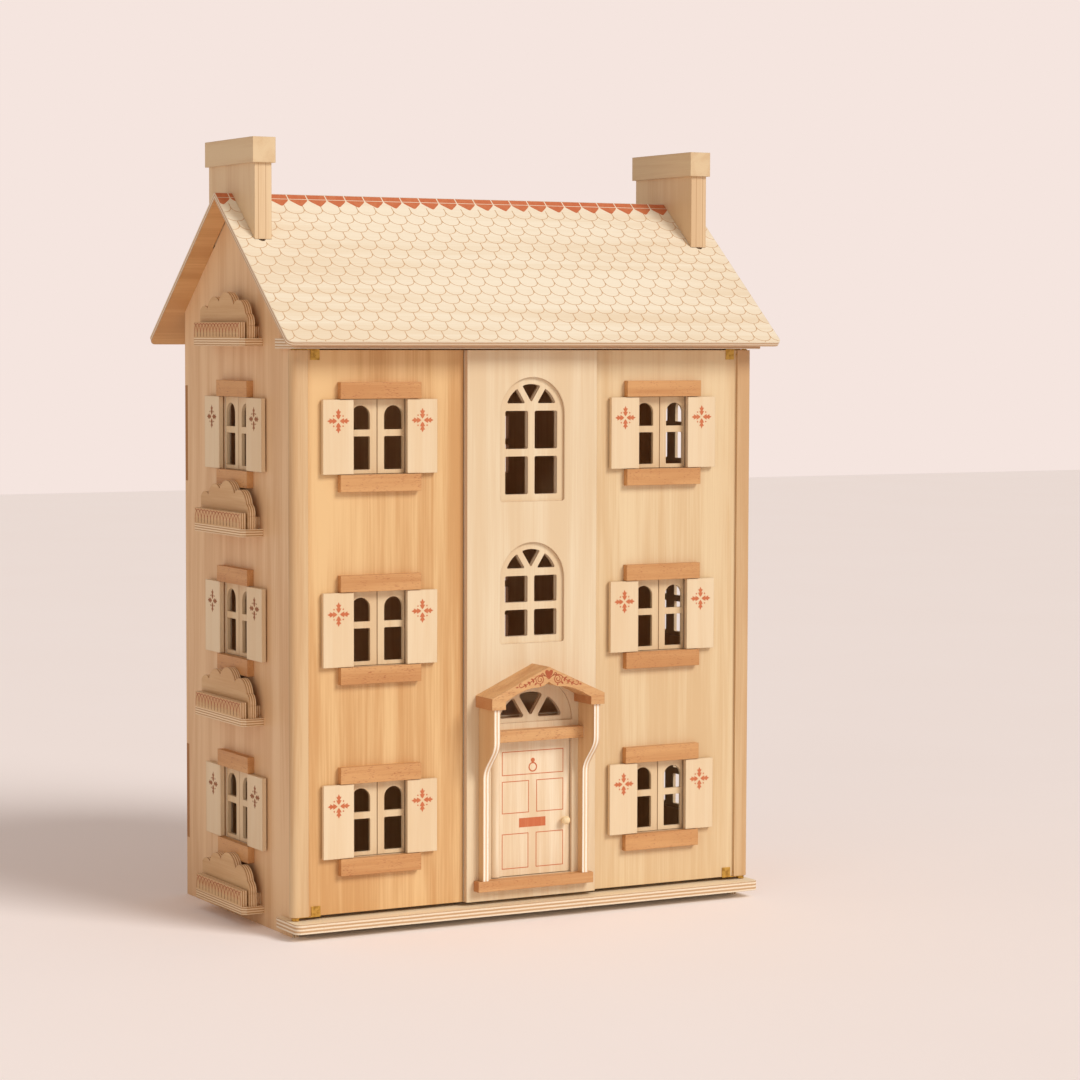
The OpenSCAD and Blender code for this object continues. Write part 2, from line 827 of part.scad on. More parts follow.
module tower_panel() {
    color("moccasin") difference() {
        translate([-tower_half, tower_front, door_z0]) cube([tower_w, tower_t, door_z1 - door_z0]);
        // Recesses down to the bars
        along_y(tower_front - 1, recess + 1) {
            translate([0, tower_low_z]) polygon(arch(tower_window_w, tower_window_low_h));
            translate([0, tower_high_z]) polygon(arch(tower_window_w, tower_window_high_h));
            translate([0, light_z]) half_round(fanlight_r);
        }
        along_y(tower_front - 1, tower_t + 2) {
            translate([0, tower_low_z]) tower_panes(tower_window_low_h);
            translate([0, tower_high_z]) tower_panes(tower_window_high_h);
            light_panes();
            doorway();
        }
        front_door_bore();
    }
}

// ---- Porch ----

// Lower edge of the canopy from the right seat to the middle: a round haunch, then a point
function ogee(u) = u < 0.73 ? 9 + 14 * sin(90 * u / 0.73) : 23 + 5.8 * pow((u - 0.73) / 0.27, 2);

module canopy() {
    seat = 17.5;
    span = canopy_half_w - seat;
    along_y(tower_front - canopy_d, canopy_d) translate([0, canopy_z])
        polygon(concat(
            [[-canopy_half_w, 0], [-canopy_half_w, canopy_end_h], [0, canopy_h],
             [canopy_half_w, canopy_end_h], [canopy_half_w, 0], [span, 0]],
            [for (i = [0:20]) [span * (1 - i / 20), ogee(i / 20)]],
            [for (i = [19:-1:0]) [-span * (1 - i / 20), ogee(i / 20)]],
            [[-span, 0]]
        ));
}

// Side of the porch: deep under the canopy, then curving back to a narrow post
module porch_side(x) {
    deep = canopy_d - 3;
    slim = 11;
    z0 = step_z + 118;
    z1 = step_z + 160;
    along_x(x, porch_t)
        polygon(concat(
            [[tower_front, step_z], [tower_front - slim, step_z]],
            [for (i = [0:12])
                [tower_front - slim - (deep - slim) * (1 - cos(15 * i)) / 2, z0 + (z1 - z0) * i / 12]],
            [[tower_front - deep, canopy_z], [tower_front, canopy_z]]
        ));
}

module porch() {
    color("sandybrown") {
        canopy();
        porch_side(porch_in);
        porch_side(-porch_in - porch_t);
        translate([-porch_in, tower_front - 13, step_z + doorway_h - 1])
            cube([2 * porch_in, 13, beam_h]);
        translate([-canopy_half_w - 2, tower_front - 12, step_z - step_h])
            cube([2 * canopy_half_w + 4, 12, step_h]);
    }
}

// ---- Front door ----

module front_door() {
    z0 = step_z + door_near;
    h = doorway_h - 2 * door_near;
    color("cornsilk") {
        difference() {
            union() {
                translate([hinge_x, hinge_y, z0]) cylinder(h = h, r = hinge_r);
                translate([hinge_x, hinge_y - door_leaf_t / 2, z0])
                    cube([doorway_w / 2 - hinge_x - NEAR, door_leaf_t, h]);
            }
            translate([knob_x, hinge_y - door_leaf_t / 2 - 1, step_z + knob_z]) rotate([-90, 0, 0])
                cylinder(h = door_leaf_t, r = knob_stem_r);
        }
        for (z = [step_z - door_pin_l + PIN_END, z0 + h - EPS])
            translate([hinge_x, hinge_y, z])
                cylinder(h = door_pin_l + door_near - PIN_END + EPS, r = door_pin_r);
    }
}

module door_knob() {
    stem = 3;
    color("cornsilk") translate([knob_x, hinge_y - door_leaf_t / 2, step_z + knob_z]) rotate([90, 0, 0]) {
        translate([0, 0, -door_leaf_t + 1]) cylinder(h = door_leaf_t + stem, r = knob_stem_r);
        translate([0, 0, stem + knob_r - 1]) sphere(knob_r);
    }
}

// ---- Nodes ----

place() {
    left_side_panel();
    right_side_panel();
    back_panel();
    base_board();
    upper_floors();
    front_roof_panel();
    rear_roof_panel();
    left_wall_window_rails();
    right_wall_windows();
    window_boxes();
    left_chimney();
    right_chimney();
    left_door_panel();
    left_door_stile();
    left_door_window_rails();
    left_door_pivots();
    right_door_panel();
    right_door_stile();
    right_door_window_rails();
    right_door_pivots();
    tower_panel();
    porch();
    front_door();
    door_knob();
    for (w = [0:2], s = [0:2], e = [0:1]) {
        name = str(WALLS[w], "_", STOREYS[s], "_", SIDES[e]);
        side = 2 * e - 1;
        at_window(w, s) shutter(w, side);
        at_window(w, s) sash(w, side);
    }
}
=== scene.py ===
import math

import bmesh
import bpy
from mathutils import Matrix, Vector


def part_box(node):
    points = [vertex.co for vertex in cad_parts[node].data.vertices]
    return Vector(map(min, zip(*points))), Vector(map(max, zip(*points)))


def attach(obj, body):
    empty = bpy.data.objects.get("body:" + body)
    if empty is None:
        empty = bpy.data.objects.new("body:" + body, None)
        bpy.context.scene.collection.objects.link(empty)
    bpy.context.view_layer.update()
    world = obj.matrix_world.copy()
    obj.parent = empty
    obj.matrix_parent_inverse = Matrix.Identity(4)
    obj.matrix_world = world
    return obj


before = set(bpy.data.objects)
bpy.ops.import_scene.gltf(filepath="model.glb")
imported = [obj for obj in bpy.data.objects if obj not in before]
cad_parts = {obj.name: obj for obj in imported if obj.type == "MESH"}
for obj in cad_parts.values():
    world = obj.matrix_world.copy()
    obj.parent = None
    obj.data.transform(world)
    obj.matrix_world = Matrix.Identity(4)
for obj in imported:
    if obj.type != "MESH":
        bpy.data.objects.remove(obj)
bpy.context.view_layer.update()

MM = 0.001
ROOF_SLOPE = math.radians(39.5)
LEVEL = 213 * MM  # from one storey's floor to the next
PRINT_RISE = 0.12 * MM  # how proud of the wood the printed ink stands
PRINT_SINK = 0.05 * MM  # how far it reaches into the wood, so that no gap shows
INK_LINE = 0.9 * MM
HAIR = 1e-6  # slack for comparing and joining points
CUT_SLACK = 1e-7  # corners this near a cutting plane count as on it
BEND_STEP = math.radians(22)  # about how far a line turns at each facet of a bend
FLOOR_REACH = 9.0  # from the middle of the floor to each edge


def tone(red, green, blue):
    """A colour given as screen values, as the shaders want it."""
    shares = [c / 255 for c in (red, green, blue)]
    return tuple(c / 12.92 if c <= 0.04045 else ((c + 0.055) / 1.055) ** 2.4 for c in shares) + (1.0,)


# Each wood has a light and a dark shade
WALL = (tone(232, 196, 152), tone(208, 162, 114))
GOLD = (tone(228, 190, 136), tone(200, 148, 90))
HONEY = (tone(229, 205, 164), tone(210, 174, 126))
STILE = (tone(216, 184, 140), tone(194, 150, 102))
TOWER = (tone(232, 214, 182), tone(216, 186, 144))
BASE = (tone(250, 236, 208), tone(232, 206, 164))
CREAM = (tone(231, 209, 174), tone(222, 192, 150))
SASH = (tone(226, 202, 164), tone(212, 178, 134))
DOOR = (tone(240, 224, 196), tone(222, 193, 152))
KNOB = (tone(248, 228, 186), tone(230, 196, 146))
BEECH = (tone(212, 160, 104), tone(186, 126, 72))
PORCH_BEECH = (tone(218, 172, 118), tone(192, 132, 78))
PORCH_SIDE = (tone(222, 186, 138), tone(200, 152, 102))
BOX = (tone(220, 182, 132), tone(196, 148, 96))
ROOF_FACE = (tone(241, 230, 207), tone(229, 208, 176))
ROOF_UNDER = (tone(226, 180, 124), tone(196, 142, 88))
CHIMNEY = (tone(226, 198, 158), tone(208, 170, 126))
CHIMNEY_CAP = (tone(222, 196, 156), tone(204, 168, 124))

# The two layers that alternate on a plywood edge
PLY = (tone(236, 220, 194), tone(196, 156, 114))
BOX_PLY = (tone(240, 216, 178), tone(190, 144, 98))
PORCH_PLY = (tone(252, 245, 230), tone(224, 190, 150))
# Darker brown layers for the back board's edges
DARK_BACK_PLY = (tone(184, 130, 74), tone(158, 106, 58))

FLECK = tone(160, 88, 48)
WORN = tone(176, 122, 74)
BEECH_END = tone(176, 104, 56)
GLUE = tone(172, 124, 82)

# Turns that lay the grain, which runs along Z, the way a board runs
ALONG_Z = (0.0, 0.0, 0.0)
ALONG_X = (0.0, math.pi / 2, 0.0)
ALONG_Y = (math.pi / 2, 0.0, 0.0)
X_WAY, Y_WAY, Z_WAY = (1.0, 0.0, 0.0), (0.0, 1.0, 0.0), (0.0, 0.0, 1.0)

FRONT_SLOPE_OUT = (0.0, -math.sin(ROOF_SLOPE), math.cos(ROOF_SLOPE))
REAR_SLOPE_OUT = (0.0, math.sin(ROOF_SLOPE), math.cos(ROOF_SLOPE))


# ---------------------------------------------------------------- shader work


class Bench:
    """Adds and joins the nodes of one material or one shared effect."""

    def __init__(self, tree):
        self.tree = tree

    def set(self, socket, value):
        if isinstance(value, bpy.types.NodeSocket):
            self.tree.links.new(value, socket)
        else:
            socket.default_value = value

    def add(self, kind, **settings):
        node = self.tree.nodes.new("ShaderNode" + kind)
        for key, value in settings.items():
            setattr(node, key, value)
        return node

    def sum(self, operation, *values, clamp=False):
        node = self.add("Math", operation=operation, use_clamp=clamp)
        for socket, value in zip(node.inputs, values):
            self.set(socket, value)
        return node.outputs[0]

    def vector(self, operation, *values):
        node = self.add("VectorMath", operation=operation)
        for socket, value in zip(node.inputs, values):
            self.set(socket, value)
        return node.outputs["Value" if operation == "DOT_PRODUCT" else "Vector"]

    def noise(self, place, scale, detail=3.0, roughness=0.55, distortion=0.0):
        node = self.add("TexNoise")
        self.set(node.inputs["Vector"], place)
        self.set(node.inputs["Scale"], scale)
        self.set(node.inputs["Detail"], detail)
        self.set(node.inputs["Roughness"], roughness)
        self.set(node.inputs["Distortion"], distortion)
        return node.outputs[0]

    def ramp(self, value, low, high, to_low=0.0, to_high=1.0):
        node = self.add("MapRange", interpolation_type="SMOOTHSTEP")
        for socket, number in zip(node.inputs, (value, low, high, to_low, to_high)):
            self.set(socket, number)
        return node.outputs[0]

    def mix(self, share, first, second):
        node = self.add("Mix", data_type="RGBA")
        self.set(node.inputs[0], share)
        self.set(node.inputs[6], first)
        self.set(node.inputs[7], second)
        return node.outputs[2]

    def spread(self, place, across, along):
        """The place stretched so that a pattern runs along Z."""
        node = self.add("CombineXYZ")
        for socket, value in zip(node.inputs, (across, across, along)):
            self.set(socket, value)
        return self.vector("MULTIPLY", place, node.outputs[0])

    def split(self, place):
        node = self.add("SeparateXYZ")
        self.set(node.inputs[0], place)
        return node.outputs

    def turned(self, place, turn, shift):
        """The place turned to a board's own grain, and moved so that boards differ."""
        node = self.add("Mapping")
        self.set(node.inputs["Vector"], place)
        node.inputs["Rotation"].default_value = turn
        node.inputs["Location"].default_value = shift
        return node.outputs[0]

    def facing(self, normal, way):
        """How squarely a face looks along a direction, either way."""
        return self.sum("ABSOLUTE", self.vector("DOT_PRODUCT", normal, way))

    def effect(self, group, **inputs):
        node = self.add("Group", node_tree=group)
        for key, value in inputs.items():
            self.set(node.inputs[key], value)
        return node.outputs

    def grain(self, place, shades, bands, figure):
        light, dark = shades
        return self.effect(GRAIN, Place=place, Light=light, Dark=dark, Bands=bands, Figure=figure)

    def flecked(self, colour, place):
        return self.effect(FLECKS, Color=colour, Place=place, Dark=FLECK)

    def plied(self, colour, place, normal, through, layer, shades=PLY, start=0.0):
        pale, core = shades
        return self.effect(LAYERS, Color=colour, Place=place, Facing=normal, Through=through,
                           Start=start, Layer=layer, Pale=pale, Core=core)

    def relief(self, height, strength, distance, normal=None):
        node = self.add("Bump")
        node.inputs["Strength"].default_value = strength
        node.inputs["Distance"].default_value = distance
        self.set(node.inputs["Height"], height)
        if normal is not None:
            self.set(node.inputs["Normal"], normal)
        return node.outputs[0]


def shared_effect(name, inputs, outputs):
    """An empty node group with named sockets, and the bench to fill it."""
    tree = bpy.data.node_groups.new(name, "ShaderNodeTree")
    for label, kind, usual in inputs:
        socket = tree.interface.new_socket(label, in_out="INPUT", socket_type="NodeSocket" + kind)
        if usual is not None:
            socket.default_value = usual
    for label, kind in outputs:
        tree.interface.new_socket(label, in_out="OUTPUT", socket_type="NodeSocket" + kind)
    given = tree.nodes.new("NodeGroupInput").outputs
    taken = tree.nodes.new("NodeGroupOutput").inputs
    return tree, Bench(tree), given, taken


def grain_effect():
    """Long bands, fine fibres and slow patches of colour, running along Z."""
    tree, bench, given, taken = shared_effect(
        "wood_grain",
        [
            ("Place", "Vector", None),
            ("Light", "Color", (1, 1, 1, 1)),
            ("Dark", "Color", (0, 0, 0, 1)),
            ("Bands", "Float", 55.0),
            ("Figure", "Float", 0.7),
        ],
        [("Color", "Color"), ("Height", "Float")],
    )
    place = given["Place"]
    sway = bench.noise(place, 3.2, 2.0)
    swayed = bench.vector("MULTIPLY_ADD", bench.spread(place, 0.0, 0.0), sway, place)
    bands = bench.noise(bench.spread(swayed, 1.0, 0.05), given["Bands"], 3.0, 0.5, 0.7)
    fine = bench.sum("MULTIPLY", given["Bands"], 11.0)
    fibres = bench.noise(bench.spread(swayed, 1.0, 0.02), fine, 3.0, 0.65)
    patches = bench.noise(bench.spread(place, 1.0, 0.35), 5.0, 2.0, 0.5, 0.4)
    shade = bench.sum("MULTIPLY_ADD", bands, 0.52, bench.sum("MULTIPLY", fibres, 0.26))
    shade = bench.sum("MULTIPLY_ADD", patches, 0.34, shade)
    share = bench.sum("MULTIPLY", bench.ramp(shade, 0.44, 0.68), given["Figure"])
    bench.set(taken["Color"], bench.mix(share, given["Light"], given["Dark"]))
    height = bench.sum("MULTIPLY_ADD", fibres, 0.7, bench.sum("MULTIPLY", bands, 0.3))
    bench.set(taken["Height"], height)
    return tree


def layers_effect():
    """Shows the glued layers of plywood on the faces that look sideways from its thickness."""
    tree, bench, given, taken = shared_effect(
        "ply_layers",
        [
            ("Color", "Color", (1, 1, 1, 1)),
            ("Place", "Vector", None),
            ("Facing", "Vector", None),
            ("Through", "Vector", None),
            ("Start", "Float", 0.0),
            ("Layer", "Float", 1.6 * MM),
            ("Pale", "Color", (1, 1, 1, 1)),
            ("Core", "Color", (0.5, 0.5, 0.5, 1)),
        ],
        [("Color", "Color"), ("Height", "Float")],
    )
    edge = bench.ramp(bench.facing(given["Facing"], given["Through"]), 0.75, 0.9, 1.0, 0.0)
    along = bench.vector("DOT_PRODUCT", given["Place"], given["Through"])
    depth = bench.sum("SUBTRACT", along, given["Start"])
    wander = bench.sum("MULTIPLY_ADD", bench.noise(given["Place"], 90.0, 2.0), 0.6 * MM, -0.3 * MM)
    count = bench.sum("DIVIDE", bench.sum("ADD", depth, wander), given["Layer"])
    stripe = bench.ramp(bench.sum("SINE", bench.sum("MULTIPLY", count, math.pi)), -0.45, 0.45)
    speck = bench.noise(given["Place"], 700.0, 3.0, 0.7)
    body = bench.mix(stripe, given["Core"], given["Pale"])
    specks = bench.sum("MULTIPLY", bench.ramp(speck, 0.5, 0.75), 0.35)
    body = bench.mix(specks, body, given["Core"])
    bench.set(taken["Color"], bench.mix(edge, given["Color"], body))
    height = bench.sum("MULTIPLY_ADD", stripe, 0.5, speck)
    bench.set(taken["Height"], bench.sum("MULTIPLY", edge, height))
    return tree


def fleck_effect():
    """The short dark flecks of beech, along Z."""
    tree, bench, given, taken = shared_effect(
        "beech_flecks",
        [
            ("Color", "Color", (1, 1, 1, 1)),
            ("Place", "Vector", None),
            ("Dark", "Color", (0.3, 0.1, 0.05, 1)),
        ],
        [("Color", "Color"), ("Mask", "Float")],
    )
    dashes = bench.noise(bench.spread(given["Place"], 1.0, 0.2), 1300.0, 2.0, 0.5)
    clumps = bench.noise(given["Place"], 60.0, 2.0)
    mask = bench.sum("MULTIPLY", bench.ramp(dashes, 0.58, 0.66), bench.ramp(clumps, 0.35, 0.6))
    share = bench.sum("MULTIPLY", mask, 0.75)
    bench.set(taken["Color"], bench.mix(share, given["Color"], given["Dark"]))
    bench.set(taken["Mask"], mask)
    return tree


def wear_effect():
    """Softened edges: a mask of where hands and the cutter have touched, and the eased normal."""
    tree, bench, given, taken = shared_effect(
        "edge_wear",
        [("Place", "Vector", None), ("Radius", "Float", 0.8 * MM)],
        [("Mask", "Float"), ("Normal", "Vector")],
    )
    eased = bench.add("Bevel", samples=4)
    bench.set(eased.inputs["Radius"], given["Radius"])
    true = bench.add("NewGeometry").outputs["Normal"]
    apart = bench.sum("SUBTRACT", 1.0, bench.vector("DOT_PRODUCT", eased.outputs[0], true))
    patchy = bench.ramp(bench.noise(given["Place"], 170.0, 3.0, 0.65), 0.28, 0.62, 0.35, 1.0)
    bench.set(taken["Mask"], bench.sum("MULTIPLY", bench.ramp(apart, 0.01, 0.16), patchy))
    bench.set(taken["Normal"], eased.outputs[0])
    return tree


GRAIN = grain_effect()
LAYERS = layers_effect()
FLECKS = fleck_effect()
WEAR = wear_effect()


def blank(name):
    """A material with its bench, its shader and the piece's own coordinates and normal."""
    material = bpy.data.materials.new(name)
    material.use_nodes = True
    bench = Bench(material.node_tree)
    shader = material.node_tree.nodes["Principled BSDF"]
    own = bench.add("TexCoord")
    return material, bench, shader, own.outputs["Object"], own.outputs["Normal"]


def close_wood(bench, shader, colour, height, place, rough=0.52, wear=0.45):
    """Edge wear, roughness and the fine relief that every wooden piece has."""
    edge = bench.effect(WEAR, Place=place, Radius=0.8 * MM)
    share = bench.sum("MULTIPLY", edge["Mask"], wear)
    bench.set(shader.inputs["Base Color"], bench.mix(share, colour, WORN))
    gloss = bench.sum("MULTIPLY_ADD", height, 0.22, rough - 0.11)
    bench.set(shader.inputs["Roughness"], bench.sum("MULTIPLY_ADD", edge["Mask"], -0.08, gloss))
    bench.set(shader.inputs["Normal"], bench.relief(height, 0.35, 0.25 * MM, edge["Normal"]))


def board_wood(name, shades, turn=ALONG_Z, shift=(0, 0, 0), bands=55.0, figure=0.7, through=None,
               start=0.0, layer=1.6 * MM, ply=PLY, rough=0.52, wear=0.45, flecks=False):
    """One board: grain, its plywood edges where it has them, and beech flecks where it is beech."""
    material, bench, shader, place, normal = blank(name)
    run = bench.turned(place, turn, shift)
    grain = bench.grain(run, shades, bands, figure)
    colour, height = grain["Color"], grain["Height"]
    if flecks:
        fleck = bench.flecked(colour, run)
        colour = fleck["Color"]
        height = bench.sum("MULTIPLY_ADD", fleck["Mask"], -0.3, height)
    if through:
        edges = bench.plied(colour, place, normal, through, layer, ply, start)
        colour = edges["Color"]
        height = bench.sum("ADD", height, edges["Height"])
    close_wood(bench, shader, colour, height, place, rough, wear)
    return material


def window_box_wood():
    """Floors with their layers stacked upwards, and rails and backs with theirs facing out."""
    floor_top = 8.85 * MM
    layer = 1.4 * MM
    material, bench, shader, place, normal = blank("window_box_ply")
    grain = bench.grain(bench.turned(place, ALONG_Y, (0.4, 0.1, 0.2)), BOX, 70.0, 0.6)
    first_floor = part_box("window_boxes")[0].z
    height = bench.sum("ADD", bench.sum("SUBTRACT", bench.split(place)["Z"], first_floor), 0.1 * MM)
    is_floor = bench.sum("LESS_THAN", bench.sum("MODULO", height, LEVEL), floor_top)
    stacked = bench.plied(grain["Color"], place, normal, Z_WAY, layer, BOX_PLY)
    outward = bench.plied(grain["Color"], place, normal, X_WAY, layer, BOX_PLY)
    colour = bench.mix(is_floor, outward["Color"], stacked["Color"])
    close_wood(bench, shader, colour, grain["Height"], place, wear=0.35)
    return material


def right_window_wood():
    """Cream shutters and sashes, with beech lintels over and sills under them."""
    material, bench, shader, place, _ = blank("right_window_wood")
    grain = bench.grain(bench.turned(place, ALONG_Z, (0.4, 0.4, 0.1)), CREAM, 60.0, 0.6)
    run = bench.turned(place, ALONG_Y, (0.2, 0.5, 0.3))
    beech = bench.flecked(bench.grain(run, BEECH, 60.0, 0.7)["Color"], run)
    leaf_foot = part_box("left_wall_ground_left_shutter")[0].z + PIN_REACH
    height = bench.sum("ADD", bench.split(place)["Z"], LEVEL - leaf_foot)
    over = bench.sum("MODULO", height, LEVEL)
    above = bench.sum("GREATER_THAN", over, SHUTTER_H + 0.2 * MM)
    below = bench.sum("LESS_THAN", over, LEVEL - 0.2 * MM)
    colour = bench.mix(bench.sum("MULTIPLY", above, below), grain["Color"], beech["Color"])
    close_wood(bench, shader, colour, grain["Height"], place)
    return material


def porch_wood():
    """Beech canopy, beam and step, with pale plywood side boards between them."""
    side_in, side_out = 60.3 * MM, 68.8 * MM
    side_foot, side_top = 49.1 * MM, 246.8 * MM
    material, bench, shader, place, normal = blank("porch_beech")
    run = bench.turned(place, ALONG_X, (0.3, 0.0, 0.6))
    grain = bench.grain(run, PORCH_BEECH, 75.0, 0.75)
    fleck = bench.flecked(grain["Color"], run)
    upright = bench.grain(place, PORCH_SIDE, 60.0, 0.6)
    sides = bench.plied(upright["Color"], place, normal, X_WAY, 2.0 * MM, PORCH_PLY, 60.5 * MM)
    spot = bench.split(place)
    out = bench.sum("ABSOLUTE", spot["X"])
    across = bench.sum("MULTIPLY", bench.sum("GREATER_THAN", out, side_in),
                       bench.sum("LESS_THAN", out, side_out))
    upward = bench.sum("MULTIPLY", bench.sum("GREATER_THAN", spot["Z"], side_foot),
                       bench.sum("LESS_THAN", spot["Z"], side_top))
    end = bench.ramp(bench.facing(normal, X_WAY), 0.8, 0.95)
    beech = bench.mix(bench.sum("MULTIPLY", end, 0.55), fleck["Color"], BEECH_END)
    colour = bench.mix(bench.sum("MULTIPLY", across, upward), beech, sides["Color"])
    height = bench.sum("MULTIPLY_ADD", fleck["Mask"], -0.3, grain["Height"])
    close_wood(bench, shader, colour, height, place, wear=0.35)
    return material


def roof_wood(name, outward, shift):
    """A pale painted face over golden plywood, with the layers on its edges."""
    material, bench, shader, place, normal = blank(name)
    run = bench.turned(place, ALONG_X, shift)
    grain = bench.grain(run, ROOF_FACE, 45.0, 0.75)
    under = bench.grain(run, ROOF_UNDER, 45.0, 0.7)
    beneath = bench.ramp(bench.vector("DOT_PRODUCT", normal, outward), -0.6, -0.4, 1.0, 0.0)
    face = bench.mix(beneath, grain["Color"], under["Color"])
    edges = bench.plied(face, place, normal, outward, 1.5 * MM)
    close_wood(bench, shader, edges["Color"], grain["Height"], place, wear=0.3)
    return material


def chimney_wood():
    """Pale cheeks and core with fine glue lines between them, under a cap cut across the grain."""
    cheek_joints = (281.5 * MM, 290.5 * MM)
    cap_height = 28.55 * MM
    material, bench, shader, place, normal = blank("chimney_ply")
    grain = bench.grain(bench.turned(place, ALONG_Z, (0.7, 0.2, 0.1)), CHIMNEY, 65.0, 0.6)
    cap = bench.grain(bench.turned(place, ALONG_Y, (0.1, 0.5, 0.3)), CHIMNEY_CAP, 60.0, 0.6)
    spot = bench.split(place)
    out = bench.sum("ABSOLUTE", spot["X"])
    lines = 0.0
    for joint in cheek_joints:
        near = bench.sum("ABSOLUTE", bench.sum("SUBTRACT", out, joint))
        line = bench.ramp(near, 0.25 * MM, 0.5 * MM, 1.0, 0.0)
        lines = bench.sum("ADD", line, lines, clamp=True)
    on_end = bench.ramp(bench.facing(normal, X_WAY), 0.75, 0.9, 1.0, 0.0)
    lines = bench.sum("MULTIPLY", lines, on_end)
    stack = bench.mix(bench.sum("MULTIPLY", lines, 0.7), grain["Color"], GLUE)
    cap_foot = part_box("left_chimney")[1].z - cap_height
    is_cap = bench.sum("GREATER_THAN", spot["Z"], cap_foot)
    colour = bench.mix(is_cap, stack, cap["Color"])
    close_wood(bench, shader, colour, grain["Height"], place, wear=0.35)
    return material


def brass_metal():
    """Rolled brass with brushing, faint stains and rubbed edges."""
    material, bench, shader, place, _ = blank("hinge_brass")
    brushed = bench.noise(bench.spread(place, 1.0, 0.08), 1400.0, 3.0, 0.6)
    stains = bench.ramp(bench.noise(place, 210.0, 4.0, 0.6), 0.4, 0.7)
    colour = bench.mix(stains, tone(214, 170, 84), tone(168, 122, 52))
    edge = bench.effect(WEAR, Place=place, Radius=0.4 * MM)
    colour = bench.mix(bench.sum("MULTIPLY", edge["Mask"], 0.6), colour, tone(240, 206, 130))
    bench.set(shader.inputs["Base Color"], colour)
    shader.inputs["Metallic"].default_value = 0.85
    bench.set(shader.inputs["Roughness"], bench.sum("MULTIPLY_ADD", brushed, 0.25, 0.24))
    bench.set(shader.inputs["Normal"], bench.relief(brushed, 0.25, 0.1 * MM, edge["Normal"]))
    return material


def ink(name, full, thin, turn=ALONG_Z):
    """Printed ink that lets a little of the grain show and thins where it wears."""
    material, bench, shader, place, _ = blank(name)
    grain = bench.grain(bench.turned(place, turn, (0.2, 0.3, 0.5)), (full, thin), 160.0, 0.45)
    speckle = bench.noise(place, 900.0, 3.0, 0.65)
    colour = bench.mix(bench.ramp(speckle, 0.56, 0.74, 0.0, 0.35), grain["Color"], thin)
    bench.set(shader.inputs["Base Color"], colour)
    bench.set(shader.inputs["Roughness"], bench.sum("MULTIPLY_ADD", speckle, 0.2, 0.45))
    bench.set(shader.inputs["Normal"], bench.relief(speckle, 0.2, 0.1 * MM))
    return material


def floor_paper():
    """The pale floor, with a mottle that is barely there."""
    material, bench, shader, place, _ = blank("pale_paper")
    mottle = bench.noise(place, 2.0, 3.0)
    bench.set(shader.inputs["Base Color"], bench.mix(mottle, tone(255, 248, 247), tone(253, 245, 243)))
    shader.inputs["Roughness"].default_value = 0.9
    return material


# ------------------------------------------------------------- building tools


def wall_place(origin, right, outward):
    """Carries a drawing made flat in X and Y onto a wall: right is its X, outward its Z."""
    right, outward = Vector(right), Vector(outward)
    turn = Matrix((right, outward.cross(right), outward)).transposed().to_4x4()
    return Matrix.Translation(origin) @ turn


def in_mm(points):
    return [(x * MM, y * MM) for x, y in points]


def new_verts(extruded):
    return [v for v in extruded["geom"] if isinstance(v, bmesh.types.BMVert)]


def raise_faces(bm, faces, height):
    """Extrudes faces upwards and gives back the corners that moved."""
    grown = new_verts(bmesh.ops.extrude_face_region(bm, geom=faces))
    bmesh.ops.translate(bm, vec=(0, 0, height), verts=grown)
    return grown


def thicken(bm, face):
    """Gives a flat outline the thickness of the ink."""
    bmesh.ops.translate(bm, vec=(0, 0, -PRINT_SINK), verts=face.verts[:])
    raise_faces(bm, [face], PRINT_RISE + PRINT_SINK)


def pen(bm, start, heading, width, moves):
    """One inked line: an upright nib pushed straight (a length) or round a bend (radius, angle)."""
    ahead = Vector((math.cos(heading), math.sin(heading), 0.0))
    side = Vector((-ahead.y, ahead.x, 0.0))
    at = Vector((start[0], start[1], 0.0))
    half = width / 2
    corners = [(-half, -PRINT_SINK), (half, -PRINT_SINK), (half, PRINT_RISE), (-half, PRINT_RISE)]
    nib = bm.faces.new([bm.verts.new(at + side * a + Vector((0.0, 0.0, b))) for a, b in corners])
    for move in moves:
        if isinstance(move, tuple):
            radius, angle = move
            centre = at + side * math.copysign(radius, angle)
            steps = max(2, round(abs(angle) / BEND_STEP))
            out = bmesh.ops.spin(bm, geom=[nib], cent=centre, axis=(0, 0, 1), angle=angle, steps=steps)
            nib = next(f for f in out["geom_last"] if isinstance(f, bmesh.types.BMFace))
            turn = Matrix.Rotation(angle, 3, "Z")
            at = centre + turn @ (at - centre)
            ahead, side = turn @ ahead, turn @ side
        else:
            out = bmesh.ops.extrude_face_region(bm, geom=[nib])
            nib = next(f for f in out["geom"] if isinstance(f, bmesh.types.BMFace))
            bmesh.ops.translate(bm, vec=ahead * move, verts=nib.verts[:])
            at = at + ahead * move


def solid_shape(bm, half_outline):
    """A filled shape, the same on both sides of its middle line, from one half's corners."""
    corners = [bm.verts.new((x, y, 0.0)) for x, y in half_outline]
    edges = [bm.edges.new(pair) for pair in zip(corners, corners[1:])]
    twins = new_verts(bmesh.ops.duplicate(bm, geom=corners + edges))
    bmesh.ops.scale(bm, vec=(-1, 1, 1), verts=twins)
    bmesh.ops.remove_doubles(bm, verts=corners + twins, dist=HAIR)
    rim = [e for e in bm.edges if e.is_wire]
    made = bmesh.ops.contextual_create(bm, geom=rim)
    thicken(bm, made["faces"][0])


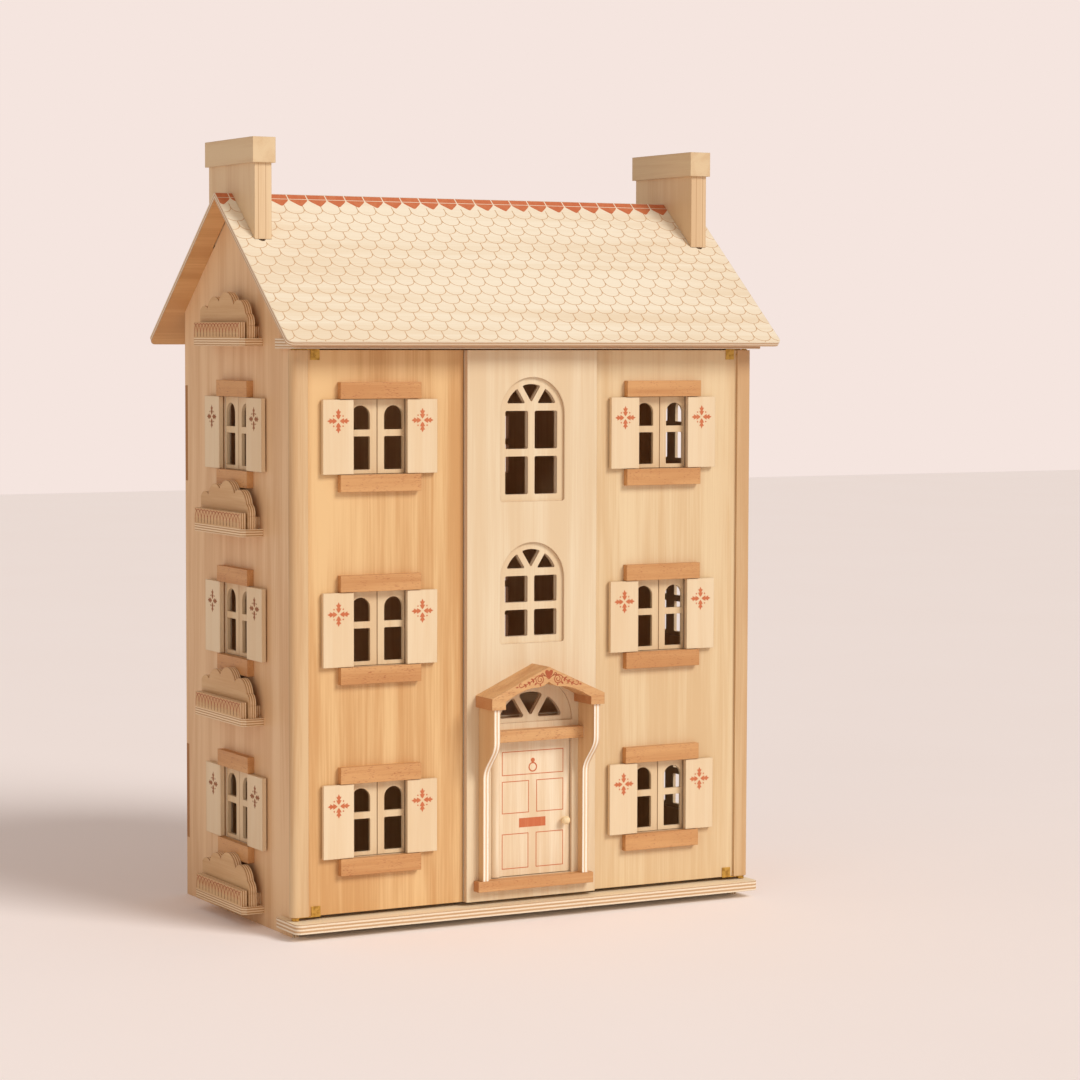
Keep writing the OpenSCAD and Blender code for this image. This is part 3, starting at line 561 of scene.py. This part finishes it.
def flat_rectangle(bm, low, high):
    """One flat face between two corners."""
    verts = bmesh.ops.create_grid(bm, x_segments=1, y_segments=1, size=0.5)["verts"]
    bmesh.ops.scale(bm, vec=(high[0] - low[0], high[1] - low[1], 1), verts=verts)
    bmesh.ops.translate(bm, vec=((low[0] + high[0]) / 2, (low[1] + high[1]) / 2, 0), verts=verts)
    return verts[0].link_faces[0]


def frame_line(bm, low, high, width):
    """A thin rectangle outline between two corners."""
    face = flat_rectangle(bm, low, high)
    bmesh.ops.translate(bm, vec=(0, 0, -PRINT_SINK), verts=face.verts[:])
    inset = bmesh.ops.inset_region(bm, faces=[face], thickness=width, use_even_offset=True,
                                   use_boundary=True)
    bmesh.ops.delete(bm, geom=[face], context="FACES_ONLY")
    raise_faces(bm, inset["faces"], PRINT_RISE + PRINT_SINK)


def stamp(bm, mesh, place):
    """Adds a copy of a small mesh at a place."""
    before = len(bm.verts)
    bm.from_mesh(mesh)
    bm.verts.ensure_lookup_table()
    bmesh.ops.transform(bm, matrix=place, verts=bm.verts[before:])


def as_mesh(name, bm):
    bmesh.ops.recalc_face_normals(bm, faces=bm.faces[:])
    mesh = bpy.data.meshes.new(name)
    bm.to_mesh(mesh)
    bm.free()
    return mesh


def discard(*meshes):
    """Clears away the small meshes once they are stamped."""
    for mesh in meshes:
        bpy.data.meshes.remove(mesh)


def finish_piece(name, bm, body, material):
    """Makes the finished object, in its material, riding on its body."""
    piece = bpy.data.objects.new(name, as_mesh(name, bm))
    bpy.context.scene.collection.objects.link(piece)
    piece.data.materials.append(material)
    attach(piece, body)


def cut(bm, point, way, clear_outer=False):
    """Cuts every face along a plane, and may drop what lies beyond it."""
    geom = bm.verts[:] + bm.edges[:] + bm.faces[:]
    bmesh.ops.bisect_plane(bm, geom=geom, plane_co=point, plane_no=way, clear_outer=clear_outer,
                           dist=CUT_SLACK)


def close_cuts(bm):
    bmesh.ops.holes_fill(bm, edges=[e for e in bm.edges if e.is_boundary], sides=0)


def trim(bm, point, away):
    """Cuts off what lies beyond a plane and closes the cut."""
    cut(bm, point, away, clear_outer=True)
    close_cuts(bm)


def clear_slot(bm, low, high):
    """Leaves the print out of a rectangle of the roof, where a chimney goes through."""
    for point in (low, high):
        cut(bm, point, X_WAY)
        cut(bm, point, Y_WAY)
    inside = []
    for face in bm.faces:
        middle = face.calc_center_median()
        if low.x < middle.x < high.x and low.y < middle.y < high.y:
            inside.append(face)
    bmesh.ops.delete(bm, geom=inside, context="FACES")
    close_cuts(bm)


# ------------------------------------------------------------- the roof prints

front_low, front_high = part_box("front_roof_panel")
ROOF_HALF = front_high.x
SLOPE_LENGTH = (front_high.y - front_low.y) / math.cos(ROOF_SLOPE)
RIDGE = Vector((0.0, front_high.y, front_high.z))

TILE_HALF = 11.3 * MM  # half the width of a scale
TILE_DEPTH = 9 * MM  # from a scale's widest place down to its foot
TILE_STEM = 7 * MM  # the straight line between a scale and the row above
TILE_LINE = 0.85 * MM
ROW_PITCH = 16 * MM
FIRST_ROW = 27 * MM  # from the ridge down to the first row's widest place

CAP_PITCH = 24 * MM
CAP_HALF = 11.3 * MM
CAP_TOP = 9.4 * MM  # from the ridge down to where a shield starts
CAP_TIP = 21.6 * MM  # and to its point
BAND_MIDDLE = 4.6 * MM
BAND_WIDTH = 7.6 * MM

# The slots that the chimneys stand in, out from the middle and down from the ridge
SLOT_NEAR = 279.5 * MM
SLOT_FAR = 292.5 * MM
SLOT_REACH = 69 * MM / math.cos(ROOF_SLOPE)
PRINT_EDGE = 0.7 * MM  # from the print to the roof's edge
CORNER_CUT = 2.4 * MM  # how far the print keeps back at the roof's rounded corners


def clear_roof_print(bm):
    """Keeps the print off the chimney slots, the edges and the rounded lower corners."""
    for side in (-1, 1):
        near, far = sorted((side * SLOT_NEAR, side * SLOT_FAR))
        clear_slot(bm, Vector((near, -SLOT_REACH, 0)), Vector((far, 1 * MM, 0)))
    edge_x = ROOF_HALF - PRINT_EDGE
    edge_y = SLOPE_LENGTH - PRINT_EDGE
    trim(bm, (edge_x, 0, 0), (1, 0, 0))
    trim(bm, (-edge_x, 0, 0), (-1, 0, 0))
    trim(bm, (0, -edge_y, 0), (0, -1, 0))
    for side in (-1, 1):
        trim(bm, (side * (edge_x - CORNER_CUT), -(edge_y - CORNER_CUT), 0), (side, -1, 0))


def tile_mesh():
    """One fish-scale tile: a stem down, round the scale's foot, and up to the next stem."""
    squash = TILE_DEPTH / TILE_HALF
    stem = TILE_STEM / squash
    bm = bmesh.new()
    pen(bm, (-TILE_HALF, stem), -math.pi / 2, TILE_LINE, [stem, (TILE_HALF, math.pi)])
    bmesh.ops.scale(bm, vec=(1, squash, 1), verts=bm.verts[:])
    return as_mesh("tile", bm)


def ridge_cap_mesh():
    """One ridge tile: the band along the ridge and the pointed shield that hangs from it."""
    drop = CAP_TIP - CAP_TOP
    shares = [(1, 0), (0.98, 0.1), (0.86, 0.27), (0.7, 0.43), (0.54, 0.57), (0.4, 0.7),
              (0.25, 0.84), (0.12, 0.95), (0, 1)]
    bm = bmesh.new()
    solid_shape(bm, [(0, -CAP_TOP)] + [(CAP_HALF * x, -CAP_TOP - drop * y) for x, y in shares])
    pen(bm, (-CAP_HALF, -BAND_MIDDLE), 0.0, BAND_WIDTH, [2 * CAP_HALF])
    return as_mesh("ridge_cap", bm)


def roof_prints(side, outward, right, line_ink, cap_ink):
    """The printed tiles and ridge caps of one roof panel."""
    tile, cap = tile_mesh(), ridge_cap_mesh()
    tiles, caps = bmesh.new(), bmesh.new()
    across = math.ceil(ROOF_HALF / TILE_HALF / 2)
    rows = math.ceil((SLOPE_LENGTH - FIRST_ROW + TILE_STEM) / ROW_PITCH)
    for row in range(rows):
        shift = (row % 2) * TILE_HALF
        for column in range(-across - 1, across + 1):
            x, y = column * 2 * TILE_HALF + shift, -FIRST_ROW - row * ROW_PITCH
            stamp(tiles, tile, Matrix.Translation((x, y, 0)))
    half_count = math.ceil(ROOF_HALF / CAP_PITCH)
    for column in range(-half_count, half_count + 1):
        stamp(caps, cap, Matrix.Translation((column * CAP_PITCH, 0, 0)))
    for name, bm, material in (("roof_tile", tiles, line_ink), ("ridge", caps, cap_ink)):
        clear_roof_print(bm)
        bmesh.ops.transform(bm, matrix=wall_place(RIDGE, right, outward), verts=bm.verts[:])
        finish_piece(f"{side}_{name}_print", bm, "house", material)
    discard(tile, cap)


# --------------------------------------------------- the other printed pieces

SHUTTER_H = 82.3 * MM
FLOWER_DROP = 0.286  # how far down a shutter its flower sits, as a share of the leaf
PIN_REACH = 3.0 * MM  # how far the pins stand out of a shutter's top and foot
WALL_FLOWER_OUT = 0.5 * MM  # how far past its leaf's middle a left wall flower sits


def flower_mesh():
    """Four leafy arms and a dot between each two."""
    half_arm = [(0, 1.7), (1.5, 3.4), (3.3, 6.9), (1.9, 6.7), (1.2, 7.5), (2.1, 8.5), (3.1, 10.8),
                (1.6, 10.5), (0, 13.6)]
    half_dot = [(0, -1.2), (1.0, 0), (0, 1.2)]
    dot_out = 5.6 * MM
    arm_bm, dot_bm = bmesh.new(), bmesh.new()
    solid_shape(arm_bm, in_mm(half_arm))
    solid_shape(dot_bm, in_mm(half_dot))
    arm, dot = as_mesh("arm", arm_bm), as_mesh("dot", dot_bm)
    bm = bmesh.new()
    for quarter in range(4):
        turn = Matrix.Rotation(quarter * math.pi / 2, 4, "Z")
        stamp(bm, arm, turn)
        stamp(bm, dot, turn @ Matrix.Translation((dot_out, dot_out, 0)))
    discard(arm, dot)
    return as_mesh("flower", bm)


def flower_place(low, high, outward, right):
    """The place of a shutter's flower, from the shutter's box and the way its front looks."""
    middle = (low + high) / 2
    middle.z = high.z - PIN_REACH - SHUTTER_H * FLOWER_DROP
    if outward[0]:
        middle.x = high.x if outward[0] > 0 else low.x
    else:
        middle.y = low.y
    return wall_place(middle, right, outward)


def shutter_flowers(facade_ink, wall_ink):
    """A flower on each of the shutters that turn, and one piece for the right wall's fixed ones."""
    flower = flower_mesh()
    for name in sorted(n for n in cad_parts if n.endswith("_shutter")):
        low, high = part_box(name)
        bm = bmesh.new()
        if name.startswith("left_wall"):
            out = WALL_FLOWER_OUT if "_left_" in name else -WALL_FLOWER_OUT
            place = Matrix.Translation((0, out, 0)) @ flower_place(low, high, (-1, 0, 0), (0, -1, 0))
            material = wall_ink
        else:
            place = flower_place(low, high, (0, -1, 0), (1, 0, 0))
            material = facade_ink
        stamp(bm, flower, place)
        finish_piece(name.replace("_shutter", "_flower_print"), bm, name, material)
    bm = bmesh.new()
    for storey in ("ground", "middle", "top"):
        for hand in ("left", "right"):
            low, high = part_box(f"left_wall_{storey}_{hand}_shutter")
            low.x, high.x = -high.x, -low.x
            stamp(bm, flower, flower_place(low, high, (1, 0, 0), (0, 1, 0)))
    finish_piece("right_wall_flower_prints", bm, "house", wall_ink)
    discard(flower)


def rail_arches(arch_ink):
    """Interlaced pointed arches along the rail of each window box."""
    span, foot, spring, crown = 129 * MM, 1.4 * MM, 5.8 * MM, 16.6 * MM
    line = 0.85 * MM
    count = 14
    boxes_a_wall = 4
    pitch = span / count
    rise = crown - spring
    radius = (pitch ** 2 + rise ** 2) / (2 * pitch)
    bend = math.atan2(rise, radius - pitch)
    bm = bmesh.new()
    for column in range(count + 1):
        x = -span / 2 + column * pitch
        for hand in (-1, 1):
            if abs(x + hand * pitch) < span / 2 + HAIR:
                pen(bm, (x, foot), math.pi / 2, line, [spring - foot, (radius, -hand * bend)])
    arches = as_mesh("arches", bm)
    low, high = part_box("window_boxes")
    rail_foot = low.z + 8.8 * MM
    left_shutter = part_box("left_wall_ground_left_shutter")
    right_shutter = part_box("left_wall_ground_right_shutter")
    middle_y = (left_shutter[1].y + right_shutter[0].y) / 2
    bm = bmesh.new()
    for storey in range(boxes_a_wall):
        z = rail_foot + storey * LEVEL
        stamp(bm, arches, wall_place((low.x, middle_y, z), (0, -1, 0), (-1, 0, 0)))
        stamp(bm, arches, wall_place((high.x, middle_y, z), (0, 1, 0), (1, 0, 0)))
    discard(arches)
    finish_piece("window_box_arch_prints", bm, "house", arch_ink)


def door_prints(door_ink):
    """The printed panels, letter slot and plain ring knocker of the front door."""
    stile_bulge = 4.0 * MM  # how far the round hinge stile stands in front of the leaf
    panels = [((-36.2, 165.2), (43.6, 192.8)), ((-36.2, 121.4), (-1.2, 158.6)),
              ((8.4, 121.4), (43.6, 158.6)), ((-36.2, 57.8), (-1.8, 98.2)), ((7.8, 57.8), (43.6, 98.2))]
    letter_slot = ((-14.0, 104.7), (20.4, 115.3))
    knocker_x, ring_foot, plate_z = 3.7 * MM, 168.6 * MM, 181.4 * MM
    ring_radius, ring_line, plate_radius = 4.9 * MM, 1.5 * MM, 2.6 * MM
    ring_gap = 0.02  # radians left open, so that the ring's ends don't meet
    bm = bmesh.new()
    for low, high in panels:
        frame_line(bm, *in_mm((low, high)), INK_LINE)
    thicken(bm, flat_rectangle(bm, *in_mm(letter_slot)))
    pen(bm, (knocker_x, ring_foot), 0.0, ring_line, [(ring_radius, math.tau - ring_gap)])
    plate = bmesh.ops.create_circle(bm, cap_ends=True, segments=20, radius=plate_radius)["verts"]
    bmesh.ops.translate(bm, vec=(knocker_x, plate_z, 0), verts=plate)
    thicken(bm, plate[0].link_faces[0])
    face_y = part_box("front_door")[0].y + stile_bulge
    place = wall_place((0, face_y, 0), (1, 0, 0), (0, -1, 0))
    bmesh.ops.transform(bm, matrix=place, verts=bm.verts[:])
    finish_piece("front_door_print", bm, "front_door", door_ink)


def bends(*moves):
    """Pen moves given in mm and degrees."""
    done = []
    for move in moves:
        if isinstance(move, tuple):
            done.append((move[0] * MM, math.radians(move[1])))
        else:
            done.append(move * MM)
    return done


def canopy_prints(scroll_ink):
    """A heart with a curling stem and leaves on either side."""
    heart_z = 284.4 * MM
    half_heart = [(0, -4.6), (1.7, -3.0), (3.5, -0.9), (4.6, 0.9), (5.0, 2.6), (4.7, 4.1),
                  (3.7, 5.0), (2.3, 5.1), (1.0, 4.3), (0, 3.1)]
    half_leaf = [(0, 0), (1.0, 1.3), (1.15, 2.4), (0.6, 3.8), (0, 4.6)]
    stem = bends(3.0, (10, -60), (14, -25), 3.0, (20, 14), 12.0, (2.4, 150), (1.5, 110))
    curl = bends(3.5, (4.7, -185), (3.5, -180), (2.3, -150), (1.3, -110))
    loop = bends((4.0, -20), 2.0, (1.2, -165), 2.4)
    # Each leaf's foot, lean in degrees and size
    leaves = [(19.8, -5.2, -72, 0.85), (19.6, -5.2, -172, 0.85), (24.4, -8.1, -78, 0.8),
              (24.2, -8.1, -168, 0.8), (29.4, -10.6, -75, 0.75), (29.2, -10.6, -165, 0.75),
              (15.8, -8.6, -140, 0.9), (11.4, -10.2, 170, 0.7), (39.0, -12.6, -100, 0.8)]
    heart_bm, leaf_bm, side_bm = bmesh.new(), bmesh.new(), bmesh.new()
    solid_shape(heart_bm, in_mm(half_heart))
    solid_shape(leaf_bm, in_mm(half_leaf))
    heart, leaf = as_mesh("heart", heart_bm), as_mesh("leaf", leaf_bm)
    pen(side_bm, (0.3 * MM, -5.2 * MM), math.radians(45), INK_LINE, stem)
    pen(side_bm, (17.3 * MM, -3.4 * MM), math.radians(-105), INK_LINE, curl)
    pen(side_bm, (5.4 * MM, -1.6 * MM), math.radians(72), INK_LINE, loop)
    for x, y, lean, size in leaves:
        spot = Matrix.Translation((x * MM, y * MM, 0)) @ Matrix.Rotation(math.radians(lean), 4, "Z")
        stamp(side_bm, leaf, spot @ Matrix.Scale(size, 4))
    scroll = as_mesh("scroll", side_bm)
    bm = bmesh.new()
    stamp(bm, heart, Matrix.Identity(4))
    stamp(bm, scroll, Matrix.Identity(4))
    stamp(bm, scroll, Matrix.Scale(-1, 4, Vector((1, 0, 0))))
    place = wall_place((0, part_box("porch")[0].y, heart_z), (1, 0, 0), (0, -1, 0))
    bmesh.ops.transform(bm, matrix=place, verts=bm.verts[:])
    discard(heart, leaf, scroll)
    finish_piece("canopy_print", bm, "right_facade", scroll_ink)


# ---------------------------------------------------------- the hinge screws


def screw_mesh():
    """A round head with a slot across it."""
    radius, half_slot, slot_floor, land = 2.0 * MM, 0.28 * MM, 0.35 * MM, 0.3 * MM
    sink = 0.1 * MM
    longest_rim_edge = 0.6 * MM
    bm = bmesh.new()
    bmesh.ops.create_circle(bm, cap_ends=True, segments=24, radius=radius)
    for x in (-half_slot, half_slot):
        geom = bm.verts[:] + bm.edges[:] + bm.faces[:]
        bmesh.ops.bisect_plane(bm, geom=geom, plane_co=(x, 0, 0), plane_no=(1, 0, 0))
    raise_faces(bm, bm.faces[:], slot_floor)
    bmesh.ops.recalc_face_normals(bm, faces=bm.faces[:])
    tops = [f for f in bm.faces if f.normal.z > 0.9]
    grown = raise_faces(bm, [f for f in tops if abs(f.calc_center_median().x) > half_slot], land)
    rim = [e for e in bm.edges if all(v in grown for v in e.verts)]
    rim = [e for e in rim if e.calc_length() < longest_rim_edge]
    bmesh.ops.bevel(bm, geom=rim, offset=0.12 * MM, affect="EDGES", segments=2, profile=0.5,
                    material=-1)
    bmesh.ops.translate(bm, vec=(0, 0, -sink), verts=bm.verts[:])
    return as_mesh("screw", bm)


def hinge_screws(metal):
    """A slotted round head in each brass plate."""
    screw_x, screw_in = 278.3 * MM, 5.4 * MM
    foot_turn, top_turn = 0.6, 2.1  # radians that the two slots are turned by
    head = screw_mesh()
    foot, top = (corner.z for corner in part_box("left_door_panel"))
    for side, sign in (("left", -1), ("right", 1)):
        face_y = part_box(f"{side}_door_pivots")[0].y
        bm = bmesh.new()
        for z, turn in ((foot + screw_in, foot_turn), (top - screw_in, top_turn)):
            place = wall_place((sign * screw_x, face_y, z), (1, 0, 0), (0, -1, 0))
            stamp(bm, head, place @ Matrix.Rotation(turn, 4, "Z"))
        finish_piece(f"{side}_hinge_screws", bm, f"{side}_facade", metal)
    discard(head)


# ------------------------------------------------------------------- finishes


def cover(node, material):
    """Gives a CAD node its material."""
    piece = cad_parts[node]
    piece.data.materials.clear()
    piece.data.materials.append(material)


def cover_carcass():
    """The walls, the back, the floors, the base board and the window boxes."""
    for side, start in (("left", -290 * MM), ("right", 282 * MM)):
        wood = board_wood(f"{side}_wall_ply", WALL, shift=(start, 0.3, 0.1), bands=48.0, figure=0.65,
                          through=X_WAY, start=start)
        cover(f"{side}_side_panel", wood)
    cover("back_panel", board_wood("back_wall_ply", WALL, shift=(0.9, 0.2, 0.4), bands=42.0,
                                   through=Y_WAY, start=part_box("back_panel")[0].y, ply=DARK_BACK_PLY))
    cover("upper_floors", board_wood("floor_ply", WALL, ALONG_X, (0.5, 0.6, 0.2), 50.0, 0.65, Z_WAY,
                                     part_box("upper_floors")[0].z))
    cover("base_board", board_wood("base_ply", BASE, ALONG_X, (0.1, 0.9, 0.2), 50.0, 0.6, Z_WAY,
                                   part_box("base_board")[0].z, 2.0 * MM, wear=0.25))
    cover("window_boxes", window_box_wood())


def cover_facade():
    """The facade doors with their rails and stiles, the tower, the porch and the front door."""
    for side, shades, figure in (("left", GOLD, 0.85), ("right", HONEY, 0.7)):
        low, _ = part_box(f"{side}_door_panel")
        panel = board_wood(f"{side}_door_ply", shades, shift=(low.x, 0.5, 0.3), bands=40.0,
                           figure=figure, through=Y_WAY, start=low.y)
        stile = board_wood(f"{side}_stile_pine", STILE, shift=(low.x, 0.1, 0.8), bands=60.0)
        rails = board_wood(f"{side}_door_beech", BEECH, ALONG_X, (0.2, low.x, 0.3), 60.0, flecks=True)
        cover(f"{side}_door_panel", panel)
        cover(f"{side}_door_stile", stile)
        cover(f"{side}_door_window_rails", rails)
    cover("tower_panel", board_wood("tower_ply", TOWER, shift=(0.35, 0.8, 0.5), bands=38.0,
                                    figure=0.65, through=Y_WAY, start=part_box("tower_panel")[0].y))
    cover("porch", porch_wood())
    cover("front_door", board_wood("front_door_wood", DOOR, shift=(0.3, 0.7, 0.2), bands=75.0,
                                   figure=0.75, wear=0.3))
    cover("door_knob", board_wood("knob_wood", KNOB, shift=(0.1, 0.1, 0.9), bands=120.0, figure=0.6,
                                  rough=0.42))


def cover_roof():
    """Both roof panels and both chimneys."""
    cover("front_roof_panel", roof_wood("front_roof_ply", FRONT_SLOPE_OUT, (0.1, 0.2, 0.3)))
    cover("rear_roof_panel", roof_wood("rear_roof_ply", REAR_SLOPE_OUT, (0.7, 0.6, 0.5)))
    stack = chimney_wood()
    for side in ("left", "right"):
        cover(f"{side}_chimney", stack)


def cover_windows():
    """The wall windows' rails, and each shutter and sash with a grain of its own."""
    cover("left_wall_window_rails", board_wood("wall_beech", BEECH, ALONG_Y, (0.6, 0.1, 0.7), 60.0,
                                               flecks=True))
    cover("right_wall_windows", right_window_wood())
    for number, name in enumerate(sorted(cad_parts)):
        shift = (0.37 * number, 0.21 * number, 0.13 * number)
        if name.endswith("_shutter"):
            cover(name, board_wood(name + "_wood", CREAM, shift=shift, bands=58.0, figure=0.6))
        elif name.endswith("_sash"):
            cover(name, board_wood(name + "_wood", SASH, shift=shift, bands=62.0, figure=0.6))


def add_prints():
    """Everything that is printed on the wood."""
    terracotta = ink("terracotta_ink", tone(198, 104, 60), tone(212, 136, 90))
    russet = ink("russet_ink", tone(166, 76, 36), tone(184, 100, 58))
    umber = ink("umber_ink", tone(144, 82, 36), tone(164, 106, 58))
    tile_line = ink("tile_line_ink", tone(200, 158, 112), tone(214, 180, 138), ALONG_X)
    roof_prints("front", FRONT_SLOPE_OUT, (1, 0, 0), tile_line, terracotta)
    roof_prints("rear", REAR_SLOPE_OUT, (-1, 0, 0), tile_line, terracotta)
    shutter_flowers(terracotta, umber)
    rail_arches(russet)
    door_prints(terracotta)
    canopy_prints(russet)


def fit_brass():
    """The pivots that the facade doors hang on, and the screws in their plates."""
    brass = brass_metal()
    for side in ("left", "right"):
        cover(f"{side}_door_pivots", brass)
    hinge_screws(brass)


cover_carcass()
cover_facade()
cover_roof()
cover_windows()
add_prints()
fit_brass()

# --------------------------------------------------------- camera, light, floor


def aim_camera():
    """A long lens a little above the house's middle, looking across the front from the left."""
    azimuth, elevation, roll = math.radians(28.72), math.radians(3.81), math.radians(0.18)
    lens = bpy.data.cameras.new("house_camera")
    lens.lens = 102.78
    lens.sensor_width = 36
    lens.clip_end = 50
    camera = bpy.data.objects.new("house_camera", lens)
    bpy.context.scene.collection.objects.link(camera)
    ahead = Vector((math.sin(azimuth) * math.cos(elevation), math.cos(azimuth) * math.cos(elevation),
                    -math.sin(elevation)))
    level = ahead.to_track_quat("-Z", "Y").to_matrix()
    camera.rotation_euler = (level @ Matrix.Rotation(roll, 3, "Z")).to_euler()
    camera.location = (-1.67339, -3.23973, 0.66695)
    bpy.context.scene.camera = camera


def add_lamp(name, kind, power, colour, at, aim):
    """A lamp that shines from one point towards another."""
    lamp = bpy.data.lights.new(name, kind)
    lamp.energy = power
    lamp.color = colour
    holder = bpy.data.objects.new(name, lamp)
    holder.location = at
    holder.rotation_euler = (Vector(aim) - Vector(at)).to_track_quat("-Z", "Y").to_euler()
    bpy.context.scene.collection.objects.link(holder)
    return lamp


def light_room():
    """A wide soft key from the right, a warm fill from the left and an even glow all round."""
    key = add_lamp("key_light", "SUN", 1.95, (1.0, 0.98, 0.95), (1.5, -3.0, 2.5), (0.0, 0.0, 0.0))
    key.angle = 0.42
    fill = add_lamp("fill_light", "AREA", 15.0, (1.0, 0.93, 0.84), (-3.2, -2.4, 1.6), (0.0, 0.0, 0.4))
    fill.size = 2.4
    room = bpy.data.worlds.new("pale_room")
    room.use_nodes = True
    bench = Bench(room.node_tree)
    glow = room.node_tree.nodes["Background"]
    glow.inputs["Color"].default_value = tone(250, 234, 224)
    glow.inputs["Strength"].default_value = 0.5
    seen = bench.add("Background")
    seen.inputs["Color"].default_value = tone(245, 229, 223)
    either = bench.add("MixShader")
    bench.set(either.inputs[0], bench.add("LightPath").outputs["Is Camera Ray"])
    bench.set(either.inputs[1], glow.outputs[0])
    bench.set(either.inputs[2], seen.outputs[0])
    bench.set(room.node_tree.nodes["World Output"].inputs["Surface"], either.outputs[0])
    bpy.context.scene.world = room
    bpy.context.scene.view_settings.view_transform = "Standard"


def lay_floor():
    """A plain pale floor, which isn't part of the house."""
    bm = bmesh.new()
    bmesh.ops.create_grid(bm, x_segments=1, y_segments=1, size=FLOOR_REACH)
    floor = bpy.data.objects.new("floor", as_mesh("floor", bm))
    bpy.context.scene.collection.objects.link(floor)
    floor.data.materials.append(floor_paper())


aim_camera()
light_room()
lay_floor()
